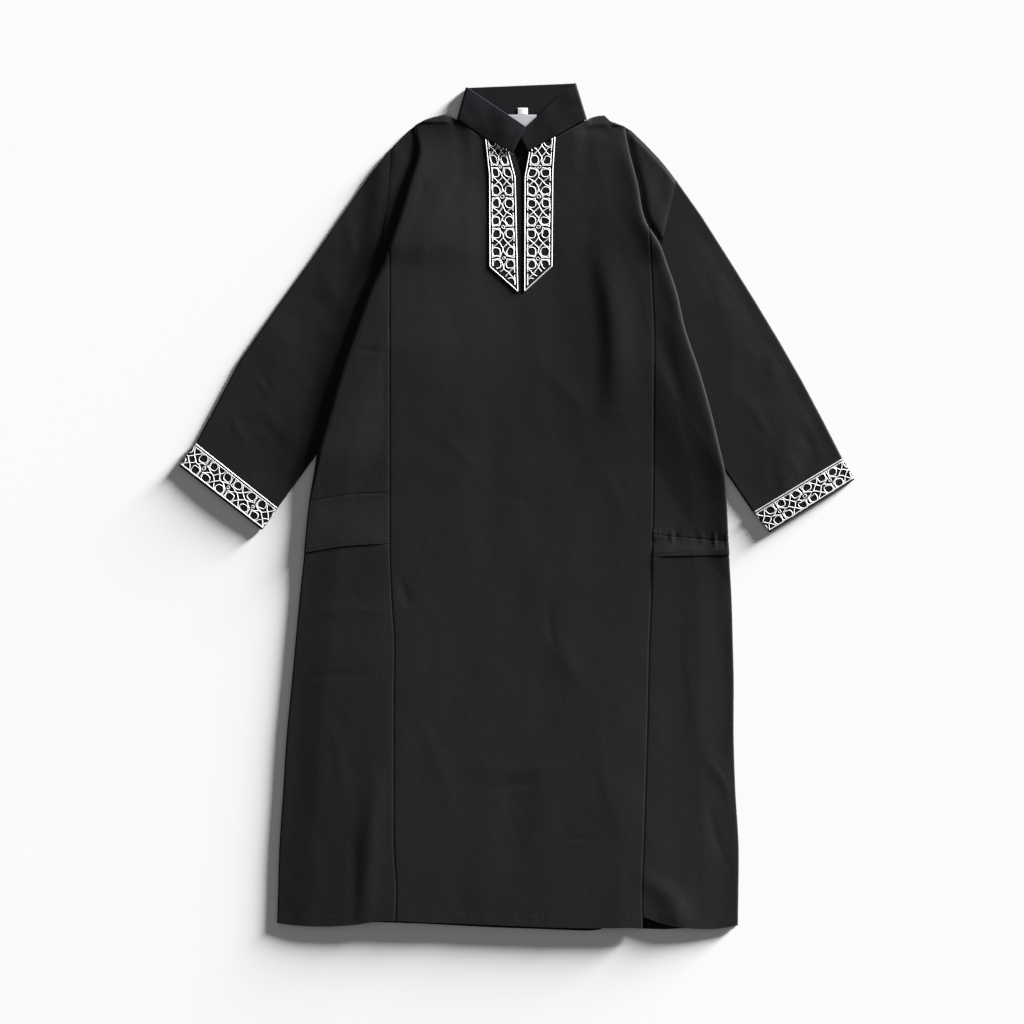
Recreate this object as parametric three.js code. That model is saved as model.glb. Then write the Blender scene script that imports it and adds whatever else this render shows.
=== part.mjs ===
// A long-sleeved robe (jilbab) with a stand collar, laid flat on its back.
// Millimetres, +Z up from the surface it lies on, +Y towards the collar, +X to the viewer's right.
// The garment's own measures are x, from the centre front slit, and drop, down from the high shoulder point.
import * as THREE from 'three';

// ---- driving dimensions ----
const CLOTH = 1.2; // wall of the robe's cloth
const GAP = 0.3; // between two pieces at a seam, and between two layers
const BAND_WALL = 1.6; // collar and cuffs: cloth with interlining
const TRIM = 0.7; // embroidered strips
const TAB = 0.6; // label and size tab
const ON_BACK = CLOTH + GAP; // a layer that lies on the back starts here
const SLEEVE_HOLLOW = 1.0; // air inside a sleeve where the body lies on it
const SLEEVE_LOFT = 2.3; // more air inside the sleeve where it lies free
const OVER_SLEEVE = 2 * CLOTH + SLEEVE_HOLLOW + 0.5; // how far a sleeve lifts the front
const FRONT_LOFT = 1.7; // air between front and back
const HEM_LOFT = 2.6; // more air towards the hem
const NECK_RISE = 1.4; // the front comes up to the collar's seam
const FOLD_HEIGHT = { left: 7, right: 4 }; // the rolled folds where the body lies over a sleeve
const SIDE_FOLD_HEIGHT = 1.2; // the softer fold down the sides below the sleeves
const FOLD_REACH = 12; // from the fold's edge to its highest line
const SLIT_END = 260; // drop of the neck slit's lower end
const BAND_OVERLAP = 8; // a pocket band over the panel below it
const COLLAR_LIFT = 5.7; // middle of the collar's front ends
const COLLAR_CROSS = 2.1; // how far the upper end lies above the lower one
const CUFF_SEAM = 0.3;

// ---- the body: side folds and princess seams by drop ----
const BODY = [
  { drop: 20, left: -184, seamLeft: -226, seamRight: 214, right: 174 },
  { drop: 55, left: -178, seamLeft: -226, seamRight: 214, right: 181 },
  { drop: 110, left: -194, seamLeft: -226, seamRight: 214, right: 195 },
  { drop: 177, left: -214, seamLeft: -226, seamRight: 214, right: 210 },
  { drop: 187, left: -216.5, seamLeft: -226, seamRight: 214.5, right: 214.5 },
  { drop: 211, left: -226, seamLeft: -226, seamRight: 216, right: 231 },
  { drop: 250, left: -241, seamLeft: -226, seamRight: 218, right: 246 },
  { drop: 290, left: -259, seamLeft: -226, seamRight: 220, right: 260 },
  { drop: 355, left: -283, seamLeft: -226, seamRight: 223, right: 275 },
  { drop: 433, left: -310, seamLeft: -226, seamRight: 223, right: 301 },
  { drop: 520, left: -335, seamLeft: -226, seamRight: 222.5, right: 325 },
  { drop: 565, left: -348, seamLeft: -226, seamRight: 222, right: 335.5 },
  { drop: 600, left: -354, seamLeft: -226, seamRight: 222, right: 343.5 },
  { drop: 650, left: -362.5, seamLeft: -226, seamRight: 221.5, right: 346.5 },
  { drop: 740, left: -371, seamLeft: -226, seamRight: 220.25, right: 350.5 },
  { drop: 780, left: -375, seamLeft: -226, seamRight: 219.7, right: 352.5 },
  { drop: 820, left: -379.5, seamLeft: -222.5, seamRight: 218, right: 355 },
  { drop: 890, left: -386, seamLeft: -218, seamRight: 215, right: 357 },
  { drop: 950, left: -391.5, seamLeft: -218.5, seamRight: 213.5, right: 358.5 },
  { drop: 1055, left: -401.5, seamLeft: -219, seamRight: 211, right: 358.5 },
  { drop: 1136, left: -406.5, seamLeft: -219, seamRight: 208.5, right: 361 },
  { drop: 1243, left: -413.5, seamLeft: -218.5, seamRight: 205, right: 367 },
  { drop: 1310, left: -415.5, seamLeft: -214.5, seamRight: 202.5, right: 366.5 },
  { drop: 1380, left: -417.5, seamLeft: -217, seamRight: 204, right: 365.5 },
];

// The armhole seams, from the shoulder to the underarm.
const ARMHOLE_LEFT = [
  { drop: 53.5, x: -225 },
  { drop: 120, x: -229 },
  { drop: 240, x: -238 },
  { drop: 370, x: -236 },
];
const ARMHOLE_RIGHT = [
  { drop: 106, x: 261 },
  { drop: 221, x: 236 },
  { drop: 300, x: 226 },
  { drop: 400, x: 223 },
];

// Upper edge of the front, from shoulder to shoulder along the neckline.
const FRONT_TOP = [
  { x: -225, drop: 53.5 },
  { x: -208, drop: 36 },
  { x: -194, drop: 21 },
  { x: -180.5, drop: 10.5 },
  { x: -167, drop: 3 },
  { x: -153.5, drop: -1.5 },
  { x: -133, drop: -6.5 },
  { x: -122.5, drop: -2.5 },
  { x: -112, drop: 2.5 },
  { x: -67.5, drop: 33 },
  { x: -17, drop: 59.5 },
  { x: 11, drop: 56 },
  { x: 55, drop: 32.5 },
  { x: 109.5, drop: 3 },
  { x: 116, drop: -1 },
  { x: 127, drop: -4 },
  { x: 139, drop: -5 },
  { x: 149, drop: 5 },
  { x: 173, drop: 14 },
  { x: 185, drop: 21.5 },
  { x: 209, drop: 44.5 },
  { x: 234, drop: 71 },
  { x: 248, drop: 88.5 },
  { x: 261, drop: 106 },
];
const BACK_NECK = [
  { x: -113.5, drop: 3.5 },
  { x: 111, drop: 3.5 },
];
const BACK_TOP = [
  ...FRONT_TOP.filter(({ x }) => x < -115),
  ...BACK_NECK,
  ...FRONT_TOP.filter(({ x }) => x > 115),
];

// Lower edges of the front's panels and of the back.
const FRONT_HEM = [
  { x: -417, drop: 1367 },
  { x: -394, drop: 1370 },
  { x: -287, drop: 1369.5 },
  { x: -244, drop: 1363.5 },
  { x: -170, drop: 1365 },
  { x: -54, drop: 1369.5 },
  { x: 108, drop: 1375 },
  { x: 203, drop: 1374.5 },
];
const SIDE_RIGHT_HEM = [
  { x: 203, drop: 1355 },
  { x: 284, drop: 1375.5 },
  { x: 335, drop: 1376 },
  { x: 364, drop: 1371 },
];
const BACK_HEM = [
  { x: -417, drop: 1367 },
  { x: -394, drop: 1370 },
  { x: -244, drop: 1366 },
  { x: -170, drop: 1368.5 },
  { x: -54, drop: 1374.5 },
  { x: 108, drop: 1380.5 },
  { x: 131, drop: 1379 },
  { x: 135, drop: 1374.5 },
  { x: 242, drop: 1378 },
  { x: 364, drop: 1371 },
];

// The neck slit opens from a V below the collar.
const SLIT = [
  { drop: 50, left: -18, right: 12 },
  { drop: 80, left: -7, right: 4 },
  { drop: 105, left: -1.5, right: 1 },
  { drop: 140, left: -0.8, right: 0.6 },
  { drop: 1380, left: -0.8, right: 0.6 },
];

// Pocket seams and pocket mouths.
const POCKET_SEAM_LEFT = [
  { x: -362, drop: 651 },
  { x: -288, drop: 638.5 },
  { x: -226, drop: 637 },
];
const POCKET_MOUTH_LEFT = [
  { x: -370, drop: 730 },
  { x: -311, drop: 720 },
  { x: -226, drop: 714 },
];
const POCKET_SEAM_RIGHT = [
  { x: 220, drop: 707 },
  { x: 350, drop: 719 },
];
const POCKET_MOUTH_RIGHT = [
  { x: 220, drop: 736.5 },
  { x: 350, drop: 733.5 },
];

// Embroidered strips beside the slit: their outer and inner edges, from the collar down.
const TRIMS = [
  {
    side: 'left',
    outer: [[-65, 34], [-58.2, 96], [-57.5, 253]],
    inner: [[-22.5, 60], [-11.8, 100], [-7, 297.5]],
  },
  {
    side: 'right',
    outer: [[56, 33], [52.3, 90], [51, 252]],
    inner: [[9.5, 60], [2, 100], [1.4, 297.5]],
  },
];

// Sleeve edges, from the armhole to the cuff seam, and the free edge of the cuff.
const SLEEVES = [
  {
    side: 'left',
    sign: -1,
    armhole: ARMHOLE_LEFT,
    outer: [[-225, 53.5], [-261, 97.5], [-352, 230], [-413, 314.5], [-481, 412], [-555.5, 551.5]],
    under: [[-236, 370], [-348, 568], [-416, 661.5]],
    hem: [[-584, 590], [-443, 699.5]],
  },
  {
    side: 'right',
    sign: 1,
    armhole: ARMHOLE_RIGHT,
    outer: [[261, 106], [303.5, 166], [352, 242], [394.5, 310], [435.5, 378], [474.5, 446], [543, 577.5]],
    under: [[223, 400], [344, 600], [391, 669]],
    hem: [[564, 613.5], [419.5, 703.5]],
  },
];

// The largest folds: a soft ridge (or trough, below zero) along a line, with its half width.
const FOLDS = [
  { from: [106, 190], to: [152, 454], width: 26, height: -1.6 }, // valley beside the slit
  { from: [124, 215], to: [180, 450], width: 28, height: 3.8 }, // light ridge down the chest
  { from: [254, 360], to: [300, 590], width: 16, height: 1.3 },
  { from: [-105, 61], to: [-140, 138], width: 12, height: 1 },
  { from: [41, 428], to: [106, 496], width: 15, height: 0.7 },
  { from: [46, 870], to: [99, 962], width: 15, height: 0.8 },
  { from: [-93, 1105], to: [62, 1105], width: 13, height: 0.6 },
  { from: [-250, 1120], to: [-270, 1365], width: 17, height: 1.8 },
  { from: [206, 1289], to: [262, 1330], width: 15, height: 1.5 },
  { from: [250, 1330], to: [275, 1372], width: 22, height: 2.2 }, // the side hem stands up a little
  { from: [313, 1081], to: [354, 1142], width: 13, height: 1.2 },
];
const SLEEVE_FOLDS = [
  { from: [-470, 416], to: [-419, 471], width: 15, height: 1.6 },
  { from: [-384, 517], to: [-424, 643], width: 18, height: 1.8 },
  { from: [-352, 240], to: [-300, 330], width: 20, height: 1.4 },
  { from: [318, 300], to: [372, 420], width: 20, height: 1.6 },
  { from: [430, 470], to: [470, 600], width: 20, height: 1.4 },
];

// ---- collar: the neck seam and upper edge of each front end, from the side fold to the tip ----
const COLLAR_LEFT = { seam: [[-112, 3], [-67.5, 33], [-17, 59.5]], edge: [[-97, -52], [5.5, 15]] };
const COLLAR_RIGHT = { seam: [[109.5, 3], [55, 32.5], [7.5, 57.5]], edge: [[90.5, -59.5], [-8, 26.5]] };

// ---- colours ----
const BLACK = { color: 0x232427, roughness: 0.9, metalness: 0 };
const COLLAR_BLACK = { color: 0x202126, roughness: 0.88, metalness: 0 };
const EMBROIDERY = { color: 0x8f9193, roughness: 0.75, metalness: 0 };
const SILVER = { color: 0xb9babc, roughness: 0.6, metalness: 0 };
const WHITE = { color: 0xeeeeee, roughness: 0.8, metalness: 0 };

const robe = new THREE.Group();

// ---- small helpers ----
const mix = (a, b, t) => a + (b - a) * t;
const range = (n) => Array.from({ length: n }, (_, i) => i);

// 0 before `from`, 1 past `to`, smooth between; `from` may be the larger.
function ease(from, to, value) {
  const t = Math.min(1, Math.max(0, (value - from) / (to - from)));
  return t * t * (3 - 2 * t);
}

// As ease, but nearly straight between.
function ramp(from, to, value) {
  const t = Math.min(1, Math.max(0, (value - from) / (to - from)));
  return mix(t, ease(0, 1, t), 0.4);
}

// Value of column `name` in a table sorted by column `by`.
function lookup(table, by, name, at) {
  const last = table.length - 1;
  if (at <= table[0][by]) return table[0][name];
  if (at >= table[last][by]) return table[last][name];
  const i = table.findIndex((row) => row[by] > at);
  const t = (at - table[i - 1][by]) / (table[i][by] - table[i - 1][by]);
  return mix(table[i - 1][name], table[i][name], t);
}

// Point at share t of a polyline's length.
function pointAlong(points, t) {
  const steps = points.slice(1).map((p, i) => Math.hypot(p[0] - points[i][0], p[1] - points[i][1]));
  let left = t * steps.reduce((a, b) => a + b, 0);
  let i = 0;
  while (i < steps.length - 1 && left > steps[i]) {
    left -= steps[i];
    i += 1;
  }
  const share = Math.min(1, left / steps[i]);
  return [mix(points[i][0], points[i + 1][0], share), mix(points[i][1], points[i + 1][1], share)];
}

// Height of one fold at a point: bell-shaped across, fading out at its ends.
function foldAt(fold, x, drop) {
  const [ax, ay] = fold.from;
  const dx = fold.to[0] - ax;
  const dy = fold.to[1] - ay;
  const share = ((x - ax) * dx + (drop - ay) * dy) / (dx * dx + dy * dy);
  const t = Math.min(1, Math.max(0, share));
  const away = Math.hypot(x - ax - t * dx, drop - ay - t * dy) / fold.width;
  return fold.height * Math.exp(-away * away) * (0.45 + 0.55 * Math.sin(Math.PI * t));
}
const foldsAt = (folds, x, drop) => folds.reduce((sum, fold) => sum + foldAt(fold, x, drop), 0);

// ---- where the body's edges lie ----
const bodyColumn = (name) => (drop) => lookup(BODY, 'drop', name, drop);
const foldLeft = bodyColumn('left');
const foldRight = bodyColumn('right');
const armholeLeft = (drop) => lookup(ARMHOLE_LEFT, 'drop', 'x', drop);
const armholeRight = (drop) => lookup(ARMHOLE_RIGHT, 'drop', 'x', drop);
const ARMHOLE_SHOWS = 260; // below this drop the armhole seam is under the front
const armholeShows = (drop) => drop < ARMHOLE_SHOWS;
const edgeLeft = (drop) => Math.min(armholeShows(drop) ? armholeLeft(drop) : 0, foldLeft(drop));
const edgeRight = (drop) => Math.max(armholeShows(drop) ? armholeRight(drop) : 0, foldRight(drop));
const seamLeft = (drop) => Math.max(foldLeft(drop), bodyColumn('seamLeft')(drop));
const seamRight = (drop) => Math.min(foldRight(drop), bodyColumn('seamRight')(drop));
const slitLeft = (drop) => lookup(SLIT, 'drop', 'left', drop);
const slitRight = (drop) => lookup(SLIT, 'drop', 'right', drop);
const curve = (table) => (x) => lookup(table, 'x', 'drop', x);
const frontTop = curve(FRONT_TOP);

// ---- heights of the layers ----
// 1 where a sleeve lies between front and back.
function sleeveBelow(x, drop) {
  const across = ramp(-30, -222, x) * ease(60, 214, drop) + ramp(50, 216, x) * ease(50, 214, drop);
  return across * ease(680, 600, drop);
}

// The roll of cloth inside a fold's edge.
function rollAt(inside, drop, top, grown) {
  if (inside <= 0) return 0;
  const high = mix(top, SIDE_FOLD_HEIGHT, ease(560, 660, drop)) * ease(15, grown, drop);
  return high * (inside / FOLD_REACH) * Math.exp(1 - inside / FOLD_REACH);
}

// Underside of the front.
function frontLow(x, drop) {
  const insideLeft = x - foldLeft(drop);
  const insideRight = foldRight(drop) - x;
  const inside = Math.min(insideLeft, insideRight);
  const fromTop = drop - frontTop(x);
  const fromShoulder = Math.abs(x) > 112 ? ease(0, 30, fromTop) : 1;
  const air = (FRONT_LOFT + HEM_LOFT * ease(600, 1340, drop)) * ease(0, 40, inside) * fromShoulder;
  const loft = air + foldsAt(FOLDS, x, drop) * ease(0, 18, inside);
  const neck = NECK_RISE * ease(70, 0, fromTop) * ease(112, 85, Math.abs(x));
  const rollLeft = rollAt(insideLeft, drop, FOLD_HEIGHT.left, 120);
  const rollRight = rollAt(insideRight, drop, FOLD_HEIGHT.right, 360);
  const sleeveUnder = OVER_SLEEVE * sleeveBelow(x, drop);
  return ON_BACK + sleeveUnder + Math.max(0, loft) + neck + rollLeft + rollRight;
}

// Upper side of the front: the wall is measured across the slope.
function frontHigh(x, drop) {
  const probe = 3;
  const slopeX = (frontLow(x + probe, drop) - frontLow(x - probe, drop)) / (2 * probe);
  const slopeY = (frontLow(x, drop + probe) - frontLow(x, drop - probe)) / (2 * probe);
  return frontLow(x, drop) + CLOTH * Math.min(2, Math.hypot(1, slopeX, slopeY));
}

// ---- solids ----
// Turns points of the garment (x, drop, z) and triangles into a closed named mesh.
function solid(name, finish, points, triangles) {
  const position = points.flatMap(([x, drop, z]) => [x, -drop, z]);
  let volume = 0;
  for (const [a, b, c] of triangles) {
    const [p, q, r] = [a, b, c].map((i) => new THREE.Vector3(...position.slice(3 * i, 3 * i + 3)));
    volume += p.dot(q.cross(r));
  }
  const index = triangles.flatMap(([a, b, c]) => (volume > 0 ? [a, b, c] : [a, c, b]));
  const geometry = new THREE.BufferGeometry();
  geometry.setAttribute('position', new THREE.Float32BufferAttribute(position, 3));
  geometry.setIndex(index);
  geometry.computeVertexNormals();
  const mesh = new THREE.Mesh(geometry, new THREE.MeshStandardMaterial(finish));
  mesh.name = name;
  robe.add(mesh);
}

// A wall between an upper and a lower grid of points; `keep` says which cells hold cloth.
function wall(name, finish, upper, lower, keep = () => true) {
  const rows = upper.length;
  const columns = upper[0].length;
  const points = [];
  const numbers = new Map();
  const number = (layer, r, c) => {
    const key = `${layer},${r},${c}`;
    if (!numbers.has(key)) {
      numbers.set(key, points.length);
      points.push((layer ? upper : lower)[r][c]);
    }
    return numbers.get(key);
  };
  const kept = (r, c) => r >= 0 && c >= 0 && r < rows - 1 && c < columns - 1 && keep(r, c);
  const triangles = [];
  const quad = (a, b, c, d) => triangles.push([a, b, c], [a, c, d]);
  for (const r of range(rows - 1)) {
    for (const c of range(columns - 1)) {
      if (!kept(r, c)) continue;
      quad(...[[r, c], [r + 1, c], [r + 1, c + 1], [r, c + 1]].map(([i, j]) => number(1, i, j)));
      quad(...[[r, c], [r, c + 1], [r + 1, c + 1], [r + 1, c]].map(([i, j]) => number(0, i, j)));
      const sides = [
        { beside: [r, c - 1], edge: [[r, c], [r + 1, c]] },
        { beside: [r + 1, c], edge: [[r + 1, c], [r + 1, c + 1]] },
        { beside: [r, c + 1], edge: [[r + 1, c + 1], [r, c + 1]] },
        { beside: [r - 1, c], edge: [[r, c + 1], [r, c]] },
      ];
      for (const { beside, edge: [p, q] } of sides) {
        if (!kept(...beside)) quad(number(1, ...q), number(1, ...p), number(0, ...p), number(0, ...q));
      }
    }
  }
  solid(name, finish, points, triangles);
}

// An open tube from rings of points, each with an outer and an inner loop of the same length.
function tube(name, finish, rings) {
  const loop = rings[0].outer.length;
  const points = rings.flatMap(({ outer, inner }) => [...outer, ...inner]);
  const at = (ring, side, i) => ring * 2 * loop + side * loop + (i % loop);
  const triangles = [];
  const quad = (a, b, c, d) => triangles.push([a, b, c], [a, c, d]);
  const last = rings.length - 1;
  for (const i of range(loop)) {
    for (const r of range(last)) {
      quad(at(r, 0, i), at(r, 0, i + 1), at(r + 1, 0, i + 1), at(r + 1, 0, i));
      quad(at(r, 1, i + 1), at(r, 1, i), at(r + 1, 1, i), at(r + 1, 1, i + 1));
    }
    quad(at(0, 0, i + 1), at(0, 0, i), at(0, 1, i), at(0, 1, i + 1));
    quad(at(last, 0, i), at(last, 0, i + 1), at(last, 1, i + 1), at(last, 1, i));
  }
  solid(name, finish, points, triangles);
}

// ---- panels of the body ----
// Rows that every panel shares, so that seams match; the first and last rows bend to the panel's ends.
const SHARED_ROWS = [130, 150, 169, 187, 211, 235, SLIT_END, 290, 325, 365, 405, 450, 495, 540, 585];
const LOWER_ROWS = range(13).map((i) => 780 + i * 46);

// Grid of points between two side edges and two end curves.
function panelGrid({ left, right, top, bottom, shares, shared, first = 1, last = 1 }) {
  const columnDrops = (x) => {
    const start = shared.length ? shared[0] : bottom(x);
    const head = range(first).map((i) => mix(top(x), start, i / first));
    if (!shared.length) return [...head, bottom(x)];
    const end = shared[shared.length - 1];
    return [...head, ...shared, ...range(last).map((i) => mix(end, bottom(x), (i + 1) / last))];
  };
  const count = columnDrops(0).length;
  return range(count).map((r) =>
    shares.map((share) => {
      let drop = columnDrops(mix(left(0), right(0), share))[r];
      let x = 0;
      for (const _ of range(12)) {
        x = mix(left(drop), right(drop), share);
        drop = mix(drop, columnDrops(x)[r], 0.7);
      }
      return [x, drop];
    })
  );
}

function panel(name, grid, { lift = () => 0, keep } = {}) {
  const upper = grid.map((row) => row.map(([x, drop]) => [x, drop, frontHigh(x, drop) + lift(x, drop)]));
  const lower = grid.map((row) => row.map(([x, drop]) => [x, drop, frontLow(x, drop) + lift(x, drop)]));
  wall(name, BLACK, upper, lower, keep);
}

// The back lies flat on the surface.
function back() {
  const neckShares = [0.205, 0.2295, 0.691, 0.715]; // columns either side of the neck's two corners
  const [leftOf, rightOf] = [neckShares.slice(0, 2), neckShares.slice(2)];
  const shares = [0, 0.05, 0.1, 0.15, ...leftOf, 0.35, 0.5, 0.6, ...rightOf, 0.8, 0.87, 0.94, 1];
  const everySecond = (rows) => rows.filter((_, i) => i % 2 === 0);
  const shared = [...everySecond(SHARED_ROWS), 640, ...everySecond(LOWER_ROWS)];
  const across = { left: edgeLeft, right: edgeRight, shares };
  const grid = panelGrid({ ...across, top: curve(BACK_TOP), bottom: curve(BACK_HEM), shared, first: 4 });
  const upper = grid.map((row) => row.map(([x, drop]) => [x, drop, CLOTH]));
  const lower = grid.map((row) => row.map(([x, drop]) => [x, drop, 0]));
  wall('back', BLACK, upper, lower);
}

// The centre front, in one grid with the slit left out between its two middle columns.
function frontCentre() {
  const half = [0, 0.03, 0.07, 0.12, 0.19, 0.3, 0.44, 0.62, 0.8, 1];
  const shared = [...SHARED_ROWS, 640, 690, 735, ...LOWER_ROWS];
  const ends = { top: frontTop, bottom: curve(FRONT_HEM), shared, first: 5 };
  const inset = (edge, by) => (drop) => edge(drop) + by;
  const leftEdges = { left: inset(seamLeft, GAP / 2), right: slitLeft };
  const leftHalf = panelGrid({ ...ends, ...leftEdges, shares: half });
  const mirrored = half.map((share) => 1 - share).reverse();
  const rightEdges = { left: slitRight, right: inset(seamRight, -GAP / 2) };
  const rightHalf = panelGrid({ ...ends, ...rightEdges, shares: mirrored });
  const grid = leftHalf.map((row, r) => [...row, ...rightHalf[r]]);
  const slitColumn = half.length - 1;
  const keep = (r, c) => c !== slitColumn || grid[r][c][1] > SLIT_END - 1;
  panel('front_centre', grid, { keep });
}

// Side panel above the pocket, the pocket band, and the panel below it.
function side({ name, sign, seam, edge, pocketSeam, pocketMouth, hem }) {
  const shares = [0, 0.12, 0.26, 0.42, 0.58, 0.72, 0.83, 0.91, 0.96, 1];
  const inner = (drop) => seam(drop) + (sign * GAP) / 2;
  const across = { left: inner, right: edge, shares };
  const seamLine = curve(pocketSeam);
  const mouth = curve(pocketMouth);
  const upper = { top: frontTop, bottom: (x) => seamLine(x) - GAP / 2, shared: SHARED_ROWS, first: 5 };
  panel(`side_upper_${name}`, panelGrid({ ...across, ...upper }));
  const lift = (x, drop) => (ON_BACK + 0.1) * ease(-26, -3, drop - mouth(x));
  const ends = { top: (x) => seamLine(x) + GAP / 2, bottom: (x) => mouth(x) + BAND_OVERLAP };
  panel(`pocket_band_${name}`, panelGrid({ ...across, ...ends, shared: [], first: 5 }), { lift });
  panel(`side_lower_${name}`, panelGrid({ ...across, top: mouth, bottom: hem, shared: LOWER_ROWS }));
}

// ---- sleeves and cuffs ----
// One ring of a flattened tube across from point a to point b.
function flatRing(a, b, wallThickness, base, hollow) {
  const width = Math.hypot(b[0] - a[0], b[1] - a[1]);
  const edge = 3;
  const shares = [0, edge / width, 0.12, 0.3, 0.5, 0.7, 0.88, 1 - edge / width, 1];
  const last = shares.length - 1;
  const place = (share) => [mix(a[0], b[0], share), mix(a[1], b[1], share)];
  const outer = { top: [], bottom: [] };
  const inner = { top: [], bottom: [] };
  shares.forEach((share, i) => {
    const [x, drop] = place(share);
    const atEdge = i === 0 || i === last;
    const low = base(x, drop);
    const air = atEdge ? 0.5 : Math.max(0.7, hollow(x, drop) * Math.pow(Math.sin(Math.PI * share), 0.4));
    outer.bottom.push([x, drop, atEdge ? low + wallThickness / 2 : low]);
    outer.top.push([x, drop, atEdge ? low + wallThickness * 1.5 + 0.5 : low + 2 * wallThickness + air]);
    const inset = (share - 0.5) * (1 - 5 / width) + 0.5;
    const [ix, iDrop] = place(inset);
    inner.bottom.push([ix, iDrop, low + wallThickness]);
    inner.top.push([ix, iDrop, low + wallThickness + air]);
  });
  return {
    outer: [...outer.top, ...outer.bottom.reverse()],
    inner: [...inner.top, ...inner.bottom.reverse()],
  };
}

function sleeve({ side: name, sign, armhole, outer, under, hem }) {
  const fold = sign < 0 ? foldLeft : foldRight;
  const border = sign < 0 ? edgeLeft : edgeRight;
  const outside = (x, drop) => sign * (x - border(drop));
  const base = (x, drop) => ON_BACK * ease(120, 8, outside(x, drop));
  const hollow = (x, drop) => {
    const free = ease(20, 70, sign * (x - fold(drop)));
    return SLEEVE_HOLLOW + free * Math.max(0, SLEEVE_LOFT + 0.4 * foldsAt(SLEEVE_FOLDS, x, drop));
  };
  const armholeLine = armhole.map((row) => [row.x + sign * GAP, row.drop]);
  const stations = 17;
  const rings = range(stations).map((i) => {
    const share = i / (stations - 1);
    const [a, b] = [pointAlong(outer, share), pointAlong(under, share)];
    a[0] += sign * GAP * (1 - share);
    return { a, b, share };
  });
  const bend = (share, t) => {
    const chord = [mix(rings[0].a[0], rings[0].b[0], t), mix(rings[0].a[1], rings[0].b[1], t)];
    const real = pointAlong(armholeLine, t);
    const fade = Math.pow(1 - share, 3);
    return [(real[0] - chord[0]) * fade, (real[1] - chord[1]) * fade];
  };
  const bent = rings.map(({ a, b, share }) => {
    const ring = flatRing(a, b, CLOTH, base, hollow);
    const along = ([x, drop, z]) => {
      const t = Math.hypot(x - a[0], drop - a[1]) / Math.hypot(b[0] - a[0], b[1] - a[1]);
      const [dx, dy] = bend(share, t);
      return [x + dx, drop + dy, z];
    };
    return { outer: ring.outer.map(along), inner: ring.inner.map(along) };
  });
  tube(`sleeve_${name}`, BLACK, bent);

  const seam = [outer[outer.length - 1], under[under.length - 1]];
  const depth = Math.hypot(hem[0][0] - seam[0][0], hem[0][1] - seam[0][1]);
  const onSurface = () => 0;
  const cuffAir = () => SLEEVE_LOFT;
  const cuffRings = [CUFF_SEAM / depth, 0.5, 1].map((share) => {
    const a = pointAlong([seam[0], hem[0]], share);
    const b = pointAlong([seam[1], hem[1]], share);
    return flatRing(a, b, BAND_WALL, onSurface, cuffAir);
  });
  tube(`cuff_${name}`, EMBROIDERY, cuffRings);
}

// ---- collar ----
// One band that runs from its upper front end round the side fold, the back and the other side
// fold to its lower front end. Each station is a line from the neck seam to the upper edge.
function collar() {
  const backLevel = BAND_WALL / 2;
  const middle = (COLLAR_LIFT + backLevel) / 2;
  const radius = (COLLAR_LIFT - backLevel) / 2;
  const turn = radius + BAND_WALL / 2;
  const stations = [];
  const leafSteps = 7;
  const turnSteps = 6;
  const leaf = ({ seam, edge }, sign, share, lift) => {
    const [seamX, seamDrop] = pointAlong(seam, share);
    const [edgeX, edgeDrop] = pointAlong(edge, share);
    const inset = -sign * turn * (1 - share);
    return { seam: [seamX + inset, seamDrop - GAP, lift], edge: [edgeX + inset, edgeDrop, lift] };
  };
  const fold = ({ seam, edge }, sign, angle) => {
    const out = sign * (Math.cos(angle) * radius - turn);
    const lift = middle + Math.sin(angle) * radius;
    return { seam: [seam[0][0] + out, seam[0][1] - GAP, lift], edge: [edge[0][0] + out, edge[0][1], lift] };
  };
  for (const i of range(leafSteps)) {
    const share = 1 - i / leafSteps;
    stations.push(leaf(COLLAR_LEFT, -1, share, COLLAR_LIFT + COLLAR_CROSS * ease(0.55, 0.82, share)));
  }
  for (const i of range(turnSteps + 1)) {
    stations.push(fold(COLLAR_LEFT, -1, Math.PI * (0.5 - i / turnSteps)));
  }
  for (const share of [0.3, 0.7]) {
    const between = (a, b) => [mix(a[0], b[0], share), mix(a[1], b[1], share), backLevel];
    const seam = between(COLLAR_LEFT.seam[0], COLLAR_RIGHT.seam[0]);
    const edge = between(COLLAR_LEFT.edge[0], COLLAR_RIGHT.edge[0]);
    stations.push({ seam: [seam[0], seam[1] - GAP, seam[2]], edge });
  }
  for (const i of range(turnSteps + 1)) {
    stations.push(fold(COLLAR_RIGHT, 1, Math.PI * (i / turnSteps - 0.5)));
  }
  for (const i of range(leafSteps)) {
    stations.push(leaf(COLLAR_RIGHT, 1, (i + 1) / leafSteps, COLLAR_LIFT));
  }
  const across = [0, 0.5, 1];
  const middles = stations.map(({ seam, edge }) => across.map((t) => seam.map((v, i) => mix(v, edge[i], t))));
  // Each station's wall direction is square to the band's run and to its height.
  const side = (by) =>
    middles.map((row, r) => {
      const before = middles[Math.max(0, r - 1)];
      const after = middles[Math.min(middles.length - 1, r + 1)];
      return row.map((point, c) => {
        const run = new THREE.Vector3(...after[c].map((v, i) => v - before[c][i]));
        const height = new THREE.Vector3(...row[2].map((v, i) => v - row[0][i]));
        const out = run.cross(height).normalize().multiplyScalar(by);
        return [point[0] + out.x, point[1] + out.y, point[2] + out.z];
      });
    });
  wall('collar', COLLAR_BLACK, side(BAND_WALL / 2), side(-BAND_WALL / 2));
}

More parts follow.
